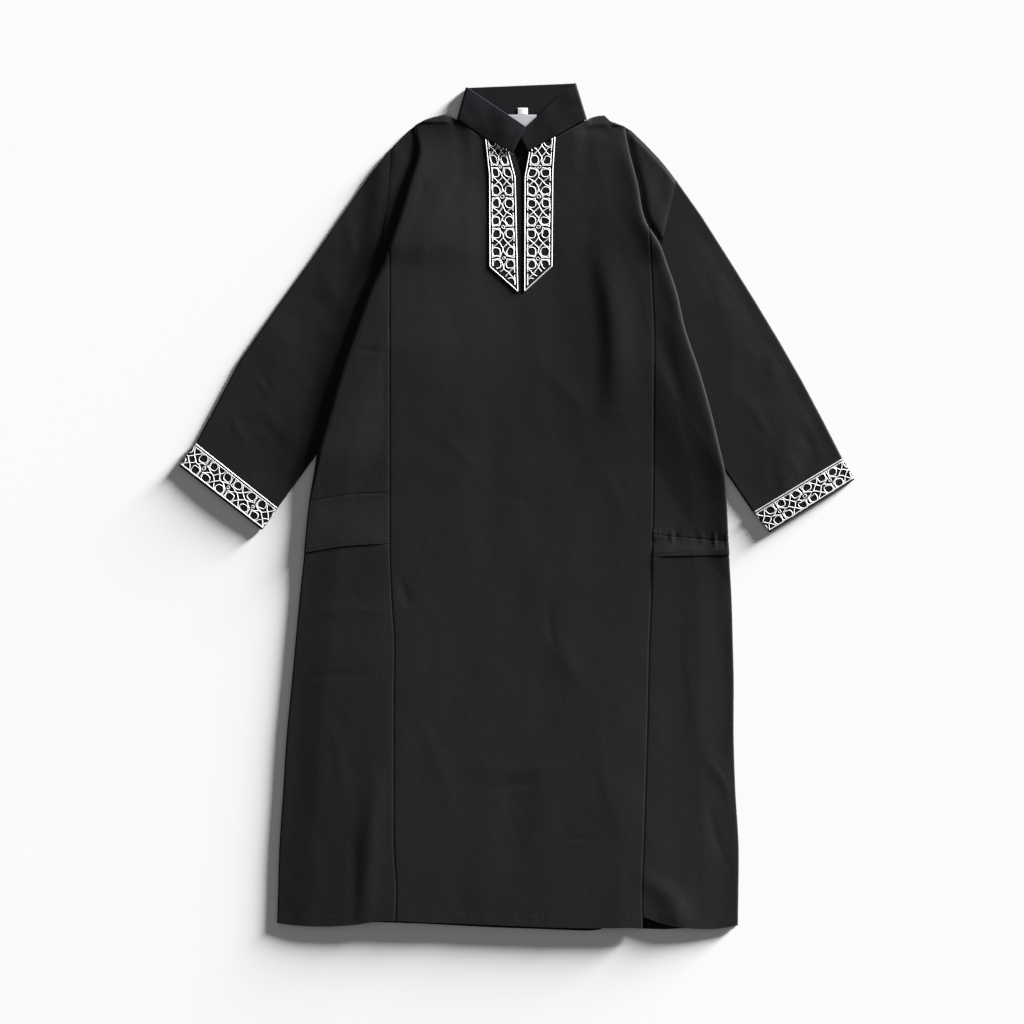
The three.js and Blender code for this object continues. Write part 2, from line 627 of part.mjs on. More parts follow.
// ---- trims, placket, label ----
function trim({ side: name, outer, inner }) {
  const rows = 12;
  const shares = [0, 0.5, 1];
  const grid = range(rows + 1).map((r) => {
    const a = pointAlong(outer, r / rows);
    const b = pointAlong(inner, r / rows);
    return shares.map((t) => [mix(a[0], b[0], t), mix(a[1], b[1], t)]);
  });
  const level = (by) => grid.map((row) => row.map(([x, drop]) => [x, drop, frontHigh(x, drop) + GAP + by]));
  wall(`trim_${name}`, EMBROIDERY, level(TRIM), level(0));
}

// A flat piece with straight edges between its corner points, at one level.
function flatPiece(name, finish, [a, b, c, d], low, thickness) {
  const level = (z) => [[[...a, z], [...b, z]], [[...d, z], [...c, z]]];
  wall(name, finish, level(low + thickness), level(low));
}

const SIDES = [
  {
    name: 'left',
    sign: -1,
    seam: seamLeft,
    edge: edgeLeft,
    pocketSeam: POCKET_SEAM_LEFT,
    pocketMouth: POCKET_MOUTH_LEFT,
    hem: curve(FRONT_HEM),
  },
  {
    name: 'right',
    sign: 1,
    seam: seamRight,
    edge: edgeRight,
    pocketSeam: POCKET_SEAM_RIGHT,
    pocketMouth: POCKET_MOUTH_RIGHT,
    hem: curve(SIDE_RIGHT_HEM),
  },
];

back();
frontCentre();
SIDES.forEach(side);
SLEEVES.forEach(sleeve);
collar();
TRIMS.forEach(trim);
flatPiece('placket', BLACK, [[-22, 64], [15, 64], [15, 284], [-22, 284]], ON_BACK + GAP, 1);
flatPiece('label', SILVER, [[-29, -6], [23, -6], [23, 15], [-29, 15]], BAND_WALL + GAP, TAB);
flatPiece('size_tab', WHITE, [[-8.5, -17.5], [8.5, -17.5], [8.5, -6.3], [-8.5, -6.3]], BAND_WALL + GAP, TAB);

// The origin is the middle of the robe's box, on the surface it lies on.
robe.updateMatrixWorld(true);
const box = new THREE.Box3().setFromObject(robe);
const centre = box.getCenter(new THREE.Vector3());
robe.position.set(-centre.x, -centre.y, -box.min.z);
robe.updateMatrixWorld(true);

export default robe;
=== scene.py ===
"""A long black robe (jilbab) with a stand collar, laid flat: cloth shells, creases, embroidery and seams.

The garment's own measures are in millimetres: x from the neck slit, to the viewer's right, drop down from
the high shoulder point, and z up from the surface. Meshes are made in metres in the frame of the solids.
"""

import sys
import logging
import math
from dataclasses import dataclass, field
from enum import Enum
from typing import Callable, Iterable, Sequence

import bpy
import numpy as np
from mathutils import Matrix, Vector


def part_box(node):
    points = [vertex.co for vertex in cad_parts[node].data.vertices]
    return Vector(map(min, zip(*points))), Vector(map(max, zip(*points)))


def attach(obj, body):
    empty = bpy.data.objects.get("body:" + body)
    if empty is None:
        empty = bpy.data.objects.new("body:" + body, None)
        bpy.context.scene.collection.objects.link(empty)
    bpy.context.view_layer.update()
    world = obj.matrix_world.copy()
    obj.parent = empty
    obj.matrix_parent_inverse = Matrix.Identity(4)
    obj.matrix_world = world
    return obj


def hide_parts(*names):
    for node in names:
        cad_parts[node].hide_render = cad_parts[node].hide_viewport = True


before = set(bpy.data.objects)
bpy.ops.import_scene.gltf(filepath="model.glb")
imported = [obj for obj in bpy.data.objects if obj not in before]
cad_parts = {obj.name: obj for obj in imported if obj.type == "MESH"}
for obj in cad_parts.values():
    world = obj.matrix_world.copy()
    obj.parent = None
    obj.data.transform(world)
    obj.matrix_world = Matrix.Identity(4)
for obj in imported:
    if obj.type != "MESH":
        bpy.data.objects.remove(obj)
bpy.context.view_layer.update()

log = logging.getLogger("jilbab")

MM = 0.001
ROOT = "root"
CLOTH = 1.2  # wall of the robe's cloth
GAP = 0.3  # between pieces at seams and between layers
Array = np.ndarray
Curve = Callable[[Array], Array]
Edges = tuple[Curve, Curve]
Line = Sequence[tuple[float, float]]


# ---------------------------------------------------------------------------------------------------
# Curves and shares
# ---------------------------------------------------------------------------------------------------
def ease(start: float, end: float, value: Array) -> Array:
    """Goes smoothly from 0 at start to 1 at end.

    Args:
        start: Value that gives 0; may be larger than end.
        end: Value that gives 1.
        value: Where to evaluate.

    Returns:
        The smooth share, from 0 to 1.
    """
    t = np.clip((np.asarray(value, float) - start) / (end - start), 0.0, 1.0)
    return t * t * (3.0 - 2.0 * t)


def ramp(start: float, end: float, value: Array) -> Array:
    """As ease, but nearly straight between."""
    t = np.clip((value - start) / (end - start), 0, 1)
    return 0.6 * t + 0.4 * ease(0, 1, t)


def through(points: Line, at: Array, smooth: bool = True) -> Array:
    """Evaluates a curve through points sorted by their first coordinate.

    Args:
        points: Pairs of (place, value).
        at: Places to evaluate; outside the range the end values hold.
        smooth: A cubic with slopes from the neighbours, or straight stretches.

    Returns:
        The values at those places.
    """
    places, values = np.array(points, float).T
    at = np.clip(np.asarray(at, float), places[0], places[-1])
    if not smooth:
        return np.interp(at, places, values)
    slopes = np.gradient(values, places)
    i = np.clip(np.searchsorted(places, at, side="right") - 1, 0, len(places) - 2)
    h = places[i + 1] - places[i]
    t = (at - places[i]) / h
    a = values[i] * (1 + 2 * t) * (1 - t) ** 2 + values[i + 1] * t * t * (3 - 2 * t)
    return a + h * (slopes[i] * t * (1 - t) ** 2 + slopes[i + 1] * t * t * (t - 1))


def travelled(line: Array) -> Array:
    """Length from a line's start to each of its points."""
    return np.concatenate([[0.0], np.cumsum(np.linalg.norm(np.diff(line, axis=0), axis=1))])


def along(points: Sequence[Sequence[float]], share: Array, smooth: bool = False) -> Array:
    """Points at shares of a line's length.

    Args:
        points: Corners of the line, in any number of dimensions.
        share: Shares of the length, from 0 to 1.
        smooth: Rounds the line through its corners.

    Returns:
        One row for each share.
    """
    corners = np.array(points, float)
    length = travelled(corners)
    at = np.asarray(share, float) * length[-1]
    return np.stack([through(list(zip(length, column)), at, smooth) for column in corners.T], axis=-1)


def arc(away: Array, radius: float) -> Array:
    """Height of a rounded edge: 0 at the edge, 1 from the radius on."""
    return np.sqrt(1 - (1 - np.clip(away / radius, 0, 1)) ** 2)


def bell(away: Array, width: float) -> Array:
    """1 in the middle, sinking smoothly to 0 on both sides."""
    return np.exp(-((away / width) ** 2))


class Ripple:
    """Soft seeded unevenness of cloth: a smooth random height over x and drop."""

    draws = 64  # random heights each way, then they repeat
    shift = (16.3, 16.7)  # where the middle of the robe's shoulders lies among them

    def __init__(self, seed: int, size: float, stretch: float = 1.0) -> None:
        """Draws the random heights.

        Args:
            seed: Seed of the random draw.
            size: Typical distance between a rise and the next, in mm.
            stretch: How much longer the rises are along the drop than across.
        """
        self.size = (size, size * stretch)
        self.heights = np.random.RandomState(seed).uniform(-1, 1, (self.draws, self.draws))

    def at(self, x: Array, drop: Array) -> Array:
        """Evaluates the unevenness.

        Args:
            x: Garment x in mm.
            drop: Garment drop in mm.

        Returns:
            Height from -1 to 1 at each point.
        """
        u = np.asarray(x, float) / self.size[0] + self.shift[0]
        v = np.asarray(drop, float) / self.size[1] + self.shift[1]
        i, j = np.floor(u).astype(int), np.floor(v).astype(int)
        s, t = ease(0, 1, u - i), ease(0, 1, v - j)
        near, far = (
            self.heights[i % self.draws, (j + b) % self.draws] * (1 - s)
            + self.heights[(i + 1) % self.draws, (j + b) % self.draws] * s
            for b in (0, 1)
        )
        return near * (1 - t) + far * t


def normals(grid: Array) -> Array:
    """Unit normals of a grid of points, to the side where rows run down and columns run right."""
    out = np.cross(np.gradient(grid, axis=1), np.gradient(grid, axis=0))
    return out / np.maximum(np.linalg.norm(out, axis=2, keepdims=True), 1e-9)


# ---------------------------------------------------------------------------------------------------
# Placing and making meshes
# ---------------------------------------------------------------------------------------------------
TAB_SIZE = (-8.5, 8.5, -17.5, -6.3)  # the size tab's x and drop, from and to; its solid gives the origin
ORIGIN_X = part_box("size_tab")[0][0] / MM - TAB_SIZE[0]
ORIGIN_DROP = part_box("size_tab")[1][1] / MM + TAB_SIZE[2]
CRISP = math.radians(55)  # edges that turn by more than this stay crisp
UP = np.array([0.0, 0.0, 1.0])


def to_frame(points: Array) -> Array:
    """Turns (x, drop, z) in mm into frame coordinates in metres.

    Args:
        points: Points in garment mm.

    Returns:
        The points in metres, in the frame of the solids.
    """
    points = np.asarray(points, float)
    placed = np.stack([points[..., 0] + ORIGIN_X, ORIGIN_DROP - points[..., 1], points[..., 2]], axis=-1)
    return placed * MM


@dataclass
class Build:
    """Vertices and faces of one piece, gathered from several shells and threads."""

    vertices: list[Array] = field(default_factory=list)
    faces: list[Array] = field(default_factory=list)
    uvs: list[Array] = field(default_factory=list)
    count: int = 0

    def add(self, points: Array, faces: Array, uv: Array) -> None:
        """Adds a closed body.

        Args:
            points: Its points, in garment mm.
            faces: Quads as rows of 4 numbers into points.
            uv: Pattern coordinates of each point, in metres.
        """
        points = points.reshape(-1, 3)
        corner = (points * (1, -1, 1))[faces]
        halves = (corner[:, (0, 1, 2)], corner[:, (0, 2, 3)])
        volume = sum(np.einsum("ij,ij->", half[:, 0], np.cross(half[:, 1], half[:, 2])) for half in halves)
        self.vertices.append(points)
        self.faces.append((faces if volume > 0 else faces[:, ::-1]) + self.count)
        self.uvs.append(uv)
        self.count += len(points)

    def object(self, name: str, material: bpy.types.Material) -> bpy.types.Object:
        """Makes the mesh object.

        Args:
            name: Name of the piece.
            material: Its finish.

        Returns:
            The object, linked to the scene.
        """
        points, faces = to_frame(np.concatenate(self.vertices)), np.concatenate(self.faces)
        uv = np.concatenate(self.uvs)
        used, packed = np.unique(faces, return_inverse=True)
        faces = packed.reshape(faces.shape)
        mesh = bpy.data.meshes.new(name)
        mesh.from_pydata(points[used].tolist(), [], faces.tolist())
        layer = mesh.uv_layers.new(name="cloth")
        layer.data.foreach_set("uv", uv[used][faces.ravel()].ravel())
        mesh.materials.append(material)
        mesh.polygons.foreach_set("use_smooth", np.ones(len(faces), bool))
        mesh.set_sharp_from_angle(angle=CRISP)
        mesh.update()
        piece = bpy.data.objects.new(name, mesh)
        bpy.context.scene.collection.objects.link(piece)
        return piece


def shell(
    build: Build, upper: Array, lower: Array, keep: Array | None = None, closed: bool = False
) -> None:
    """Adds a wall of cloth between two grids of points.

    Args:
        build: The piece that it becomes part of.
        upper: Outer points, rows by columns by 3; rows run down and columns run right.
        lower: Inner points, of the same shape.
        keep: Which cells hold cloth; all if left out.
        closed: True where the last column joins the first, as round a sleeve.
    """
    rows, columns = upper.shape[:2]
    cells = columns if closed else columns - 1
    if keep is None:
        keep = np.ones((rows - 1, cells), bool)
    number = np.arange(rows * columns).reshape(rows, columns)
    right = np.roll(number, -1, axis=1)[:, :cells]
    left = number[:, :cells]
    a, b, c, d = left[:-1], left[1:], right[1:], right[:-1]
    total = rows * columns
    faces = [np.stack([a, b, c, d], -1)[keep], np.stack([a, d, c, b], -1)[keep] + total]
    padded = np.zeros((rows + 1, cells + 2), bool)
    padded[1:-1, 1:-1] = keep
    if closed:
        padded[1:-1, 0], padded[1:-1, -1] = keep[:, -1], keep[:, 0]
    rims = (
        (padded[1:-1, :-2], a, b),
        (padded[2:, 1:-1], b, c),
        (padded[1:-1, 2:], c, d),
        (padded[:-2, 1:-1], d, a),
    )
    for beside, p, q in rims:
        bare = keep & ~beside
        faces.append(np.stack([q[bare], p[bare], p[bare] + total, q[bare] + total], -1))
    points = np.concatenate([upper.reshape(-1, 3), lower.reshape(-1, 3)])
    build.add(points, np.concatenate(faces), points[:, :2] * MM)


def cloth(build: Build, grid: Array, keep: Array | None = None) -> None:
    """Adds a wall of the robe's cloth below a grid of its outer points; keep says which cells hold cloth."""
    shell(build, grid, grid - CLOTH * normals(grid), keep)


def ribbon(build: Build, line: Array, width: Array | float, height: float) -> None:
    """Adds a thread: a low rounded bar along a line on the cloth.

    Args:
        build: The piece that it becomes part of.
        line: Points on the cloth, in garment mm.
        width: Width at each point, or one width, in mm.
        height: Height in mm.
    """
    side = np.cross(UP, np.gradient(line, axis=0))
    side /= np.maximum(np.linalg.norm(side, axis=1, keepdims=True), 1e-9)
    wide = np.broadcast_to(np.asarray(width, float), (len(line),))[:, None]
    section = ((-0.5, -0.12), (-0.3, 1.0), (0.3, 1.0), (0.5, -0.12))  # shares of the width and the height
    loop = np.stack([line + side * (a * wide) + UP * (b * height) for a, b in section], axis=1)
    count = len(section)
    number = np.arange(len(line) * count).reshape(len(line), count)
    turned = np.roll(number, -1, axis=1)
    quads = np.stack([number[:-1], turned[:-1], turned[1:], number[1:]], -1).reshape(-1, 4)
    across = np.array([a for a, _ in section]) * float(np.mean(wide))
    uv = np.stack(np.meshgrid(travelled(line), across, indexing="ij"), -1).reshape(-1, 2) * MM
    build.add(loop, np.concatenate([quads, number[:1, ::-1], number[-1:]]), uv)


# ---------------------------------------------------------------------------------------------------
# The cut
# ---------------------------------------------------------------------------------------------------
def table(columns: str, *rows: tuple[float, ...]) -> Array:
    """A table with named columns."""
    return np.array(list(rows), dtype=[(name, float) for name in columns.split()])


# Side folds and princess seams of the front, by drop.
BODY = table(
    "drop left seam_left seam_right right",
    (20, -184, -226, 214, 174),
    (55, -178, -226, 214, 181),
    (110, -194, -226, 214, 195),
    (177, -214, -226, 214, 210),
    (211, -226, -226, 216, 231),
    (250, -241, -226, 218, 246),
    (290, -259, -226, 220, 260),
    (355, -283, -226, 223, 275),
    (433, -310, -226, 223, 301),
    (520, -335, -226, 222.5, 325),
    (565, -348, -226, 222, 335.5),
    (600, -354, -226, 222, 343.5),
    (650, -362.5, -226, 221.5, 346.5),
    (740, -371, -226, 220.25, 350.5),
    (820, -379.5, -222.5, 218, 355),
    (890, -386, -218, 215, 357),
    (950, -391.5, -218.5, 213.5, 358.5),
    (1055, -401.5, -219, 211, 358.5),
    (1136, -406.5, -219, 208.5, 361),
    (1243, -413.5, -218.5, 205, 367),
    (1310, -415.5, -214.5, 202.5, 366.5),
    (1380, -417.5, -217, 204, 365.5),
)
ARMHOLE_LEFT = table("drop x", (53.5, -225), (120, -229), (240, -238), (370, -236))
ARMHOLE_RIGHT = table("drop x", (106, 261), (221, 236), (300, 226), (400, 223))

# Upper edge of the front, from shoulder to shoulder along the neckline.
FRONT_TOP = table(
    "x drop",
    (-225, 53.5),
    (-208, 36),
    (-194, 21),
    (-180.5, 10.5),
    (-167, 3),
    (-153.5, -1.5),
    (-133, -6.5),
    (-122.5, -2.5),
    (-112, 2.5),
    (-67.5, 33),
    (-17, 59.5),
    (11, 56),
    (55, 32.5),
    (109.5, 3),
    (116, -1),
    (127, -4),
    (139, -5),
    (149, 5),
    (173, 14),
    (185, 21.5),
    (209, 44.5),
    (234, 71),
    (248, 88.5),
    (261, 106),
)
NECK_HALF = 113.0  # the back's neck edge is straight between the neck's corners
BACK_NECK = 3.5  # and this far down

# Lower edges.
FRONT_HEM = table(
    "x drop",
    (-417, 1367),
    (-394, 1370),
    (-287, 1369.5),
    (-244, 1363.5),
    (-170, 1365),
    (-54, 1369.5),
    (108, 1375),
    (203, 1374.5),
)
SIDE_RIGHT_HEM = table("x drop", (203, 1355), (238, 1368), (284, 1375.5), (335, 1376), (364, 1371))
BACK_HEM = table(
    "x drop",
    (-417, 1367),
    (-394, 1370),
    (-244, 1366),
    (-170, 1368.5),
    (-54, 1374.5),
    (108, 1380.5),
    (131, 1379),
    (135, 1374.5),
    (242, 1378),
    (364, 1371),
)

SLIT = table(
    "drop left right",
    (50, -18, 12),
    (80, -7, 4),
    (105, -1.5, 1),
    (140, -0.8, 0.6),
    (1380, -0.8, 0.6),
)
SLIT_END = 260.0
HEM_STITCH = 19.0  # from a hem's edge up to its stitching

POCKET_SEAM_LEFT = table("x drop", (-362, 651), (-288, 638.5), (-226, 637))
POCKET_MOUTH_LEFT = table("x drop", (-370, 730), (-311, 720), (-226, 714))
POCKET_SEAM_RIGHT = table("x drop", (220, 707), (350, 719))
POCKET_MOUTH_RIGHT = table("x drop", (220, 736.5), (350, 733.5))
BAND_OVERLAP = 8.0  # how far a pocket band reaches below its mouth

# Lower edge of each sleeve, from the underarm to the cuff seam.
UNDER_LEFT: Line = ((-236, 370), (-348, 568), (-416, 661.5))
UNDER_RIGHT: Line = ((223, 400), (344, 600), (391, 669))

# Edges of the embroidered strips beside the slit, from the collar down.
TRIM_LEFT_OUTER: Line = ((-65, 34), (-58.2, 96), (-57.5, 253))
TRIM_LEFT_INNER: Line = ((-22.5, 60), (-11.8, 100), (-7, 297.5))
TRIM_RIGHT_OUTER: Line = ((56, 33), (52.3, 90), (51, 252))
TRIM_RIGHT_INNER: Line = ((9.5, 60), (2, 100), (1.4, 297.5))


def read(rows: Array, by: str, name: str, at: Array, smooth: bool = True) -> Array:
    """Value of a table's column at places along another one."""
    return through(np.stack([rows[by], rows[name]], -1), at, smooth)


def front_top(x: Array) -> Array:
    """Drop of the front's upper edge."""
    return read(FRONT_TOP, "x", "drop", x, smooth=False)


def front_hem(x: Array) -> Array:
    """Drop of the centre front's lower edge."""
    return read(FRONT_HEM, "x", "drop", x)


def back_top(x: Array) -> Array:
    """Drop of the back's upper edge."""
    return np.where(np.abs(x) < NECK_HALF, BACK_NECK, front_top(x))


def back_hem(x: Array) -> Array:
    """Drop of the back's lower edge."""
    return read(BACK_HEM, "x", "drop", x, smooth=False)


@dataclass(frozen=True)
class Side:
    """One side of the body; its measures run outward from the slit, so they are positive on both sides."""

    name: str
    sign: int
    armhole: Array
    pocket_seam: Array
    pocket_mouth: Array
    lower_edge: Array

    def fold(self, drop: Array) -> Array:
        """Distance of the side fold from the slit."""
        return self.sign * read(BODY, "drop", self.name, drop)

    def seam(self, drop: Array) -> Array:
        """Distance of the princess seam from the slit."""
        return self.sign * read(BODY, "drop", "seam_" + self.name, drop)

    def arm(self, drop: Array) -> Array:
        """Distance of the armhole seam from the slit."""
        return self.sign * read(self.armhole, "drop", "x", drop)

    def slit(self, drop: Array) -> Array:
        """Distance of the slit's edge from its middle line."""
        return self.sign * read(SLIT, "drop", self.name, drop, smooth=False)

    def pocket(self, x: Array) -> Array:
        """Drop of the pocket's seam."""
        return read(self.pocket_seam, "x", "drop", x)

    def mouth(self, x: Array) -> Array:
        """Drop of the pocket's mouth."""
        return read(self.pocket_mouth, "x", "drop", x)

    def hem(self, x: Array) -> Array:
        """Drop of the side panel's lower edge."""
        return read(self.lower_edge, "x", "drop", x)


LEFT = Side("left", -1, ARMHOLE_LEFT, POCKET_SEAM_LEFT, POCKET_MOUTH_LEFT, FRONT_HEM)
RIGHT = Side("right", 1, ARMHOLE_RIGHT, POCKET_SEAM_RIGHT, POCKET_MOUTH_RIGHT, SIDE_RIGHT_HEM)
SIDES = (LEFT, RIGHT)


# ---------------------------------------------------------------------------------------------------
# The drape
# ---------------------------------------------------------------------------------------------------
@dataclass(frozen=True)
class Crease:
    """A soft ridge of cloth along a line, or a trough where its height is below 0."""

    start: tuple[float, float]
    end: tuple[float, float]
    width: float
    height: float
    bend: float = 0.0  # how far its middle bows sideways
    ends: float = 0.45  # share of its height that is left at its ends
    lean: float = 1.0  # above 1, its right side is that much wider than its left side

    def at(self, x: Array, drop: Array) -> Array:
        """Evaluates the crease.

        Args:
            x: Garment x in mm.
            drop: Garment drop in mm.

        Returns:
            Height in mm at each point.
        """
        run = np.subtract(self.end, self.start)
        length = np.hypot(*run)
        dx, dy = x - self.start[0], drop - self.start[1]
        t = np.clip((dx * run[0] + dy * run[1]) / length**2, 0, 1)
        beside = (dx * run[1] - dy * run[0]) / length
        across = beside - self.bend * 4 * t * (1 - t)
        past = np.hypot(dx - t * run[0], dy - t * run[1])
        over = np.sqrt(np.maximum(0, past**2 - beside**2))
        away = np.hypot(across / np.where(across > 0, self.width * self.lean, self.width), over / self.width)
        return self.height * np.exp(-away * away) * (self.ends + (1 - self.ends) * np.sin(np.pi * t))


# Main folds, which the solids have too.
FOLDS = (
    Crease((112, 190), (142, 440), 22, -0.6, bend=6),
    Crease((126, 215), (150, 490), 19, 2.5, bend=14, ends=0.2, lean=1.7),
    Crease((254, 360), (300, 590), 16, 0.7),
    Crease((-105, 61), (-140, 138), 12, 0.45),
    Crease((80, 27), (208, 59), 12, 0.14),
    Crease((41, 428), (106, 496), 15, 0.32),
    Crease((46, 870), (99, 962), 15, 0.36),
    Crease((-93, 1105), (62, 1105), 13, 0.27),
    Crease((-250, 1120), (-270, 1365), 17, 1, ends=0.3),
    Crease((206, 1289), (262, 1330), 15, 0.68),
    Crease((250, 1330), (275, 1372), 22, 1.4),
    Crease((313, 1081), (354, 1142), 13, 0.54),
    Crease((-346, 834), (-239, 841), 12, 0.32),
)
# Finer creases: press lines, drag lines from the seams, dents.
FINE_CREASES = (
    Crease((-172, 95), (-168, 140), 5, -0.14, ends=0.1),
    Crease((-171, 150), (-168, 330), 3, 0.12, 2, ends=0.1),
    Crease((-150, 98), (-70, 103), 2.5, -0.14, 1.5, ends=0.1),
    Crease((60, 97), (150, 103), 2.5, -0.14, -1, ends=0.1),
    Crease((-292, 393), (-226, 401), 3, -0.25, 2, ends=0.2),
    Crease((-340, 830), (-232, 846), 3.5, -0.22, -3, ends=0.1),
    Crease((-386, 954), (-256, 945), 4, -0.22, 4, ends=0.1),
    Crease((-209, 778), (-192, 834), 9, -0.35, ends=0.2),
    Crease((-286, 1225), (-288, 1362), 9, -0.49, 2, ends=0.5),
    Crease((46, 835), (60, 905), 7, -0.3, -6, ends=0.1),
    Crease((-80, 1148), (38, 1128), 3.5, -0.22, 3, ends=0.1),
    Crease((50, 1222), (120, 1226), 3.5, -0.19, 1, ends=0.1),
    Crease((313, 1081), (354, 1142), 5, -0.27, 6, ends=0.1),
    Crease((318, 1164), (346, 1268), 6, -0.32, -5, ends=0.1),
    Crease((226, 360), (300, 600), 17, -0.72, 8, ends=0.3),
    Crease((203, 75), (218, 119), 5, -0.38, ends=0.2),
    Crease((-106, 60), (-142, 140), 4, -0.22, -3, ends=0.1),
    Crease((95, 20), (144, 19), 6, -0.22, ends=0.2),
    Crease((-60, 640), (20, 655), 6, -0.11, 5, ends=0.1),
    Crease((-150, 520), (-60, 600), 9, 0.14, -8, ends=0.1),
    Crease((110, 560), (180, 700), 10, 0.16, 9, ends=0.1),
    Crease((-190, 1000), (-120, 1180), 12, 0.19, 10, ends=0.1),
    Crease((130, 1010), (170, 1230), 11, 0.19, -12, ends=0.1),
    Crease((-330, 1010), (-300, 1180), 10, 0.22, 6, ends=0.1),
    Crease((280, 860), (300, 1060), 9, 0.19, -6, ends=0.1),
)


def summed(creases: Iterable[Crease], x: Array, drop: Array) -> Array:
    """Height of several creases together."""
    return sum(crease.at(x, drop) for crease in creases)


def graded(length: float, coarse: float, fine: float = 1.4, zone: float = 10.0) -> Array:
    """Shares from 0 to 1 that lie closer together near both ends.

    Args:
        length: Length that they divide, in mm.
        coarse: Step in the middle.
        fine: Step at the ends.
        zone: Length of the fine stretch at each end.

    Returns:
        The shares.
    """
    marks = [0.0]
    while marks[-1] < length:
        near = min(marks[-1], length - marks[-1]) - zone
        marks.append(marks[-1] + fine + (coarse - fine) * float(ease(0, 25, near)))
    return np.array(marks) / marks[-1]


ON_BACK = CLOTH + GAP  # a layer that lies on the back starts here
SLEEVE_HOLLOW = 0.5  # air in a sleeve below the front
CUFF_LOFT = 2.3  # air in a cuff
OVER_SLEEVE = 2 * CLOTH + SLEEVE_HOLLOW + 0.5  # how far a sleeve lifts the front
FRONT_LOFT = 1.7
HEM_LOFT = 4.2  # more air towards the hem
NECK_RISE = 1.3  # the front comes up to the collar's seam
EDGE_ROUND = (5.0, 0.9)  # how wide and how deep the front's upper edge is rounded

# Where a sleeve lifts the front: x where the lift starts and is whole, and the same for the drop.
LIFT_LEFT = ((120, -222), (60, 214))
LIFT_RIGHT = ((50, 216), (50, 214))
LIFT_PAST = (190, 12)  # past a sleeve's under edge, the front is down again, and still whole
FOLD_START = 15  # drop where the side folds begin
FLAP_PASSED = (255, 215)  # drops where a fold no longer lies on the shoulder's flap, and still does


def sleeve_below(x: Array, drop: Array) -> Array:
    """Finds where a sleeve lies between front and back.

    Args:
        x: Garment x in mm.
        drop: Garment drop in mm.

    Returns:
        Shares from 0 to 1; 1 where a sleeve is below.
    """
    across, down = np.array(UNDER_LEFT).T
    past_left = drop - np.interp(-x, -across, down)
    past_right = drop - np.interp(x, *np.array(UNDER_RIGHT).T)
    left = ramp(*LIFT_LEFT[0], x) * ease(*LIFT_LEFT[1], drop) * ramp(*LIFT_PAST, past_left)
    right = ramp(*LIFT_RIGHT[0], x) * ease(*LIFT_RIGHT[1], drop) * ramp(*LIFT_PAST, past_right)
    return left + right


